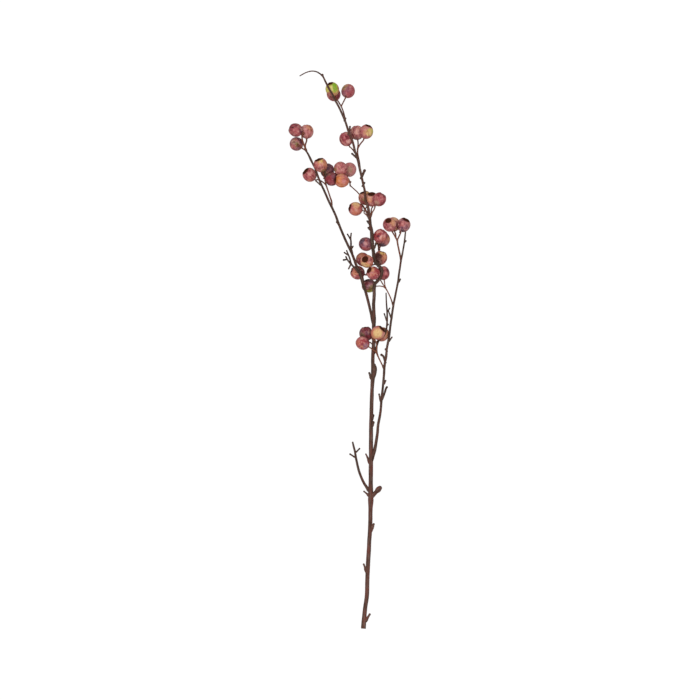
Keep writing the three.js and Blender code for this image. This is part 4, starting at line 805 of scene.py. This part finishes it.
BARK = bark_material(
    "bark", BARK_TONES, ((116, 56, 46), 0.65), ((138, 116, 106), 0.55), ((46, 34, 26), 0.65), 0)
TWIG_BARK = bark_material(
    "twig_bark", TWIG_TONES, ((104, 52, 42), 0.5), ((124, 102, 92), 0.4), ((36, 26, 22), 0.6), 20)
STALK_SKIN = bark_material(
    "stalk_skin", STALK_TONES, ((134, 56, 38), 0.6), ((168, 122, 94), 0.35),
    ((78, 44, 32), 0.45), 40)


# ------ wood


def tint_of(corners):
    """How far up the branch each corner lies, from 0 at the cut end to 1 at the tip."""
    low, high = cad_box[0].y * 1000, cad_box[1].y * 1000
    return (corners[:, 1] - low) / (high - low)


# Ridges of bark: their height, and how often they come around a limb and along it
STEM_BARK = [(0.16, 0.3, 0.055), (0.12, 0.75, 0.1), (0.07, 1.6, 0.4)]
BRANCH_BARK = [(0.12, 0.4, 0.07), (0.1, 1.0, 0.14), (0.06, 2.0, 0.5)]
STALK_BARK = [(0.08, 0.8, 0.2), (0.05, 1.8, 0.6)]

# Each limb: the limb that carries it, its sides, the spacing of its rings in mm and its bark
WOOD = {
    "main_stem": (None, 26, 0.9, STEM_BARK),
    "left_branch": ("main_stem", 20, 0.8, BRANCH_BARK),
    "right_branch": ("main_stem", 20, 0.8, BRANCH_BARK),
    "lower_twig": ("main_stem", 16, 0.7, BRANCH_BARK),
    "inner_twig": ("main_stem", 16, 0.7, BRANCH_BARK),
    "left_upper_twig": ("left_branch", 16, 0.7, BRANCH_BARK),
    "left_lower_twig": ("left_branch", 16, 0.7, BRANCH_BARK),
}
# How far apart the rings of the smaller limbs lie, and the points of a limb that carries them, mm
SPUR_SPACING = 0.45
KNOB_SPACING = 0.5
STALK_SPACING = 0.6
CARRIER_SPACING = 1.0

PATHS = {name: through(knots(rows), CARRIER_SPACING) for name, rows in LIMBS.items()}


def bud(path, size=0.22, length=1.1):
    """Swells the last stretch of a spur."""
    left = np.linalg.norm(path[:, :3] - path[-1, :3], axis=1)
    path[:, 3] *= 1 + size * np.exp(-(left / length) ** 2)
    return path


def add_wood(name, index):
    """One limb of wood with its spurs."""
    carrier, sides, spacing, bark = WOOD[name]
    path = through(knots(LIMBS[name]), spacing)
    if carrier:
        path = flare(path, PATHS[carrier], 0.5)
    foot = CUT_END if name == "main_stem" else ROUND_END
    shells = [tube(path, sides, 11.3 * index, bark, foot)]
    for k, rows in enumerate(SPURS[name].split(";")):
        spur = bud(flare(through(knots(rows), SPUR_SPACING), PATHS[name]))
        shells.append(tube(spur, 12, 11.3 * index + 2.9 * (k + 1), STALK_BARK))
    if name == "main_stem":
        spur = flare(through(knots(KNOB), KNOB_SPACING), PATHS[name], 0.3)
        shells.append(tube(spur, 18, 71.7, BRANCH_BARK))
    mesh, corners, marks = grow_together(name + "_bark", shells)
    marks["tint"] = tint_of(corners)
    marks["foot"] = np.zeros(len(corners))
    settle(mesh, corners, marks)
    twig = name.endswith("twig")
    add_piece(
        name + "_bark", mesh, TWIG_BARK if twig else BARK, name)


# ------ stalks


# How much thicker the stalks are than in the CAD model
STALK_THICKENING = 1.08
# A stalk's last row is left out where it is nearer than this to the turn into the berry, mm
CROWDED = 2.6


def berry_axis(name):
    """The direction in which a berry's calyx points."""
    return unit(np.array(BERRIES[name].calyx, float))


def stalk_route(text):
    """The route of a stalk, up to the dimple of its berry where it has one."""
    rows, _, berry = (part.strip() for part in text.partition(">"))
    route = knots(rows)
    if berry:
        centre = place(*BERRIES[berry].at)
        reach = BERRY_HALF_LENGTH * BERRIES[berry].size
        radius = route[-1, 3]
        turn = centre - berry_axis(berry) * (reach + BERRY_GAP + STALK_LEAD)
        if len(route) > 2 and np.linalg.norm(route[-1, :3] - turn) < CROWDED:
            route = route[:-1]
        for beyond, width in (BERRY_GAP + STALK_LEAD, 1.0), (BERRY_GAP + 0.7, 1.05), (-0.45, 1.45):
            end = centre - berry_axis(berry) * (reach + beyond)
            route = np.vstack([route, [*end, radius * width]])
    route[:, 3] *= STALK_THICKENING
    return route


def add_stalks(name, index):
    """A group of stalks as one grown piece."""
    limb, text = STALKS[name]
    routes = [stalk_route(part) for part in text.split(";")]
    forks = np.array([route[0, :3] for route in routes[1:]])
    carrier = PATHS[limb]
    shells = []
    for k, route in enumerate(routes):
        path = through(route, STALK_SPACING)
        if k == 0:
            path = flare(path, carrier, 0.8)
        for fork in forks:
            gap = np.linalg.norm(path[:, :3] - fork, axis=1)
            path[:, 3] *= 1 + 0.16 * np.exp(-(gap / 1.3) ** 2)
        shells.append(tube(path, 14, 200 + 7.9 * index + 2.3 * k, STALK_BARK))
    mesh, corners, marks = grow_together(name + "_skin", shells)
    outside, _ = depth_in(corners, carrier)
    marks["tint"] = tint_of(corners)
    marks["foot"] = np.exp(-np.maximum(outside, 0) / 3.5)
    settle(mesh, corners, marks)
    add_piece(name + "_skin", mesh, STALK_SKIN, name)


# ------ berries

BERRY_SIDES = 72
SKIN_RINGS = 36
SKIN_START = math.radians(-79)  # the angle at which the skin leaves the stalk dimple
# The floor of the stalk dimple: its radius and its height
DIMPLE = [(0.55, -10.12), (1.1, -10.18), (1.55, -10.29)]
DIMPLE_MIDDLE = -10.1
CALYX_END = 10.7                # half length toward the calyx
# The radius of the calyx, and how many times that it is on each berry; on the others it is 1.1
CUP_RADIUS = 4.5
CUPS = {
    "tip_berry_1": 0.95, "left_berry_1": 1.4, "left_berry_2": 1.35, "centre_berry_1": 1.2,
    "centre_berry_2": 1.25, "centre_berry_4": 1.2, "right_berry_1": 1.0, "right_berry_3": 1.3,
    "fork_berry_1": 1.12, "fork_berry_4": 1.05, "lower_berry_3": 1.35,
}
# From the edge of the skin over the husk of the calyx and down inside it: out from the cup's
# radius and up from the skin's end in mm, how dark it is, and how much the sepals move it up
HUSK = [
    (-0.02, 0.08, 0.35, 0.1), (-0.12, 0.2, 0.5, 0.3), (-0.3, 0.3, 0.7, 0.5),
    (-0.55, 0.3, 0.9, 0.55), (-0.85, 0.15, 1, 0.4), (-1.1, -0.2, 1, 0.2), (-1.35, -0.65, 1, 0.05),
    (-1.65, -1.05, 1, 0.0), (-2.1, -1.35, 1, 0.0),
]
# The floor of the calyx: its radius, and its height from the skin's end
CUP_FLOOR = [(2.0, -1.45), (1.3, -1.42), (0.8, -1.25), (0.35, -1.1)]
CUP_MIDDLE = -1.05
SEPALS = 5
SEPAL_WIDTH = 0.36              # in radians
# A calyx that points down by more than DOWNWARD is pressed flatter, to FLATTENED of its height
DOWNWARD = -0.35
FLATTENED = 0.45
# How uneven a berry is: waves over it and ribs up to its sepals, as shares of its radius
WAVES = 7
WAVE_HEIGHT = 0.0036
RIB_HEIGHT = 0.0035


def add_berry(name, index):
    """One berry, slightly uneven, with a stalk dimple and a husked calyx."""
    berry = BERRIES[name]
    draw = random.Random(100 + index)
    cup = CUP_RADIUS * CUPS.get(name, 1.1)
    end = math.acos((cup + 0.1) / BERRY_RADIUS)
    flat = FLATTENED if berry_axis(name)[2] < DOWNWARD else 1
    rings = [(radius, height, 0, 0) for radius, height in DIMPLE]
    for t in np.linspace(SKIN_START, end, SKIN_RINGS):
        half = BERRY_HALF_LENGTH if t < 0 else CALYX_END
        dark = 0.3 * max(0, 1 - (end - t) / 0.14)
        rings.append((BERRY_RADIUS * math.cos(t), half * math.sin(t), dark, 0))
    top = CALYX_END * math.sin(end)
    rings += [
        (cup + out, top + up * (flat if up > 0 else 1), dark, rise * flat)
        for out, up, dark, rise in HUSK]
    rings += [(radius, top + down, 1, 0) for radius, down in CUP_FLOOR]
    turns = np.arange(BERRY_SIDES) * 2 * math.pi / BERRY_SIDES
    start = draw.uniform(0, 2 * math.pi)
    lean = [draw.uniform(0.65, 1.15) for _ in range(SEPALS)]
    lobe = np.zeros(BERRY_SIDES)
    for k in range(SEPALS):
        off = (turns - start - k * 2 * math.pi / SEPALS + math.pi) % (2 * math.pi) - math.pi
        lobe += lean[k] * np.exp(-(off / SEPAL_WIDTH) ** 2)
    ragged = grain([(3 * math.cos(t), 3 * math.sin(t), 9.1 * index) for t in turns])
    crown = 0.75 * lobe - 0.3 + 0.25 * ragged
    corners, calyx = [], []
    for radius, height, dark, rise in rings:
        out = radius + (0.12 * ragged if dark == 1 else 0) - 0.1 * rise * lobe
        corners.append(np.column_stack(
            [out * np.cos(turns), out * np.sin(turns), height + rise * crown * 0.9]))
        calyx += [dark] * BERRY_SIDES
    corners = np.vstack([*corners, [0, 0, DIMPLE_MIDDLE], [0, 0, top + CUP_MIDDLE]])
    calyx = np.array([*calyx, 0.0, 1.0])
    heading = unit(corners + [0, 0, 1e-6])
    uneven = np.zeros(len(corners))
    for _ in range(WAVES):
        wave = np.array([draw.gauss(0, 1.9) for _ in range(3)])
        uneven += WAVE_HEIGHT * np.sin(heading @ wave + draw.uniform(0, 6.28))
    around = np.arctan2(corners[:, 1], corners[:, 0])
    ribs = RIB_HEIGHT * np.cos(SEPALS * around - SEPALS * start)
    uneven += ribs * np.clip(heading[:, 2], 0, 1) ** 2
    corners = corners * (1 + uneven)[:, None] * berry.size
    turn = Vector((0, 0, 1)).rotation_difference(Vector(berry_axis(name))).to_matrix()
    turned = corners @ np.array(turn).T
    marks = {"seen": unit(turned), "grown": corners / BERRY_RADIUS, "calyx": calyx}
    mesh = raw_mesh(name + "_fruit", corners, ring_faces(len(rings), BERRY_SIDES))
    settle(mesh, turned + place(*berry.at), marks)
    add_piece(name + "_fruit", mesh, berry_material(name, index), name)


for number, limb_name in enumerate(WOOD):
    add_wood(limb_name, number)
for number, group_name in enumerate(STALKS):
    add_stalks(group_name, number)
for number, berry_name in enumerate(BERRIES):
    add_berry(berry_name, number)


# ------ floor, light and camera

FLOOR_HEIGHT = -0.0005
far = 40.0                      # half the floor's width
floor_mesh = bpy.data.meshes.new("floor")
floor_mesh.from_pydata(
    [(x, y, FLOOR_HEIGHT) for x, y in ((-far, -far), (far, -far), (far, far), (-far, far))],
    [], [(0, 1, 2, 3)])
floor = bpy.data.objects.new("floor", floor_mesh)
bpy.context.scene.collection.objects.link(floor)
floor_surface = Surface("floor")
for socket, value in {
    "Base Color": (0.06, 0.06, 0.06, 1), "Roughness": 0.9,
    "Emission Color": (1, 1, 1, 1), "Emission Strength": 0.955,
}.items():
    floor_surface.shader.inputs[socket].default_value = value
floor_mesh.materials.append(floor_surface.material)
floor.visible_diffuse = False

world = bpy.data.worlds.new("studio")
world.use_nodes = True
background = world.node_tree.nodes["Background"]
background.inputs["Color"].default_value = (1, 1, 1, 1)
background.inputs["Strength"].default_value = 0.6
bpy.context.scene.world = world

# A large soft light far away, nearly straight above
key_light = bpy.data.lights.new("key", "SUN")
key_light.energy = 2.05
key_light.angle = math.radians(55)
key_lamp = bpy.data.objects.new("key", key_light)
key_lamp.rotation_mode = "QUATERNION"
key_lamp.rotation_quaternion = Vector((-0.12, 0.1, 1.0)).to_track_quat("Z", "Y")
bpy.context.scene.collection.objects.link(key_lamp)

# The camera looks down from far away; its frame is FRAME_WIDTH wide at FRAME_HEIGHT
FRAME_WIDTH = 1.0
FRAME_HEIGHT = 0.025
MIDDLE_PIXEL = 350
camera_data = bpy.data.cameras.new("camera")
camera_data.lens = 1000
camera_data.sensor_width = 36
away = FRAME_WIDTH * camera_data.lens / camera_data.sensor_width
camera_data.clip_start, camera_data.clip_end = 1, 100
camera = bpy.data.objects.new("camera", camera_data)
camera.location = (
    *place(MIDDLE_PIXEL, MIDDLE_PIXEL, 0)[:2] / 1000, FRAME_HEIGHT + away)
bpy.context.scene.collection.objects.link(camera)
bpy.context.scene.camera = camera

bpy.context.scene.view_settings.view_transform = "Standard"
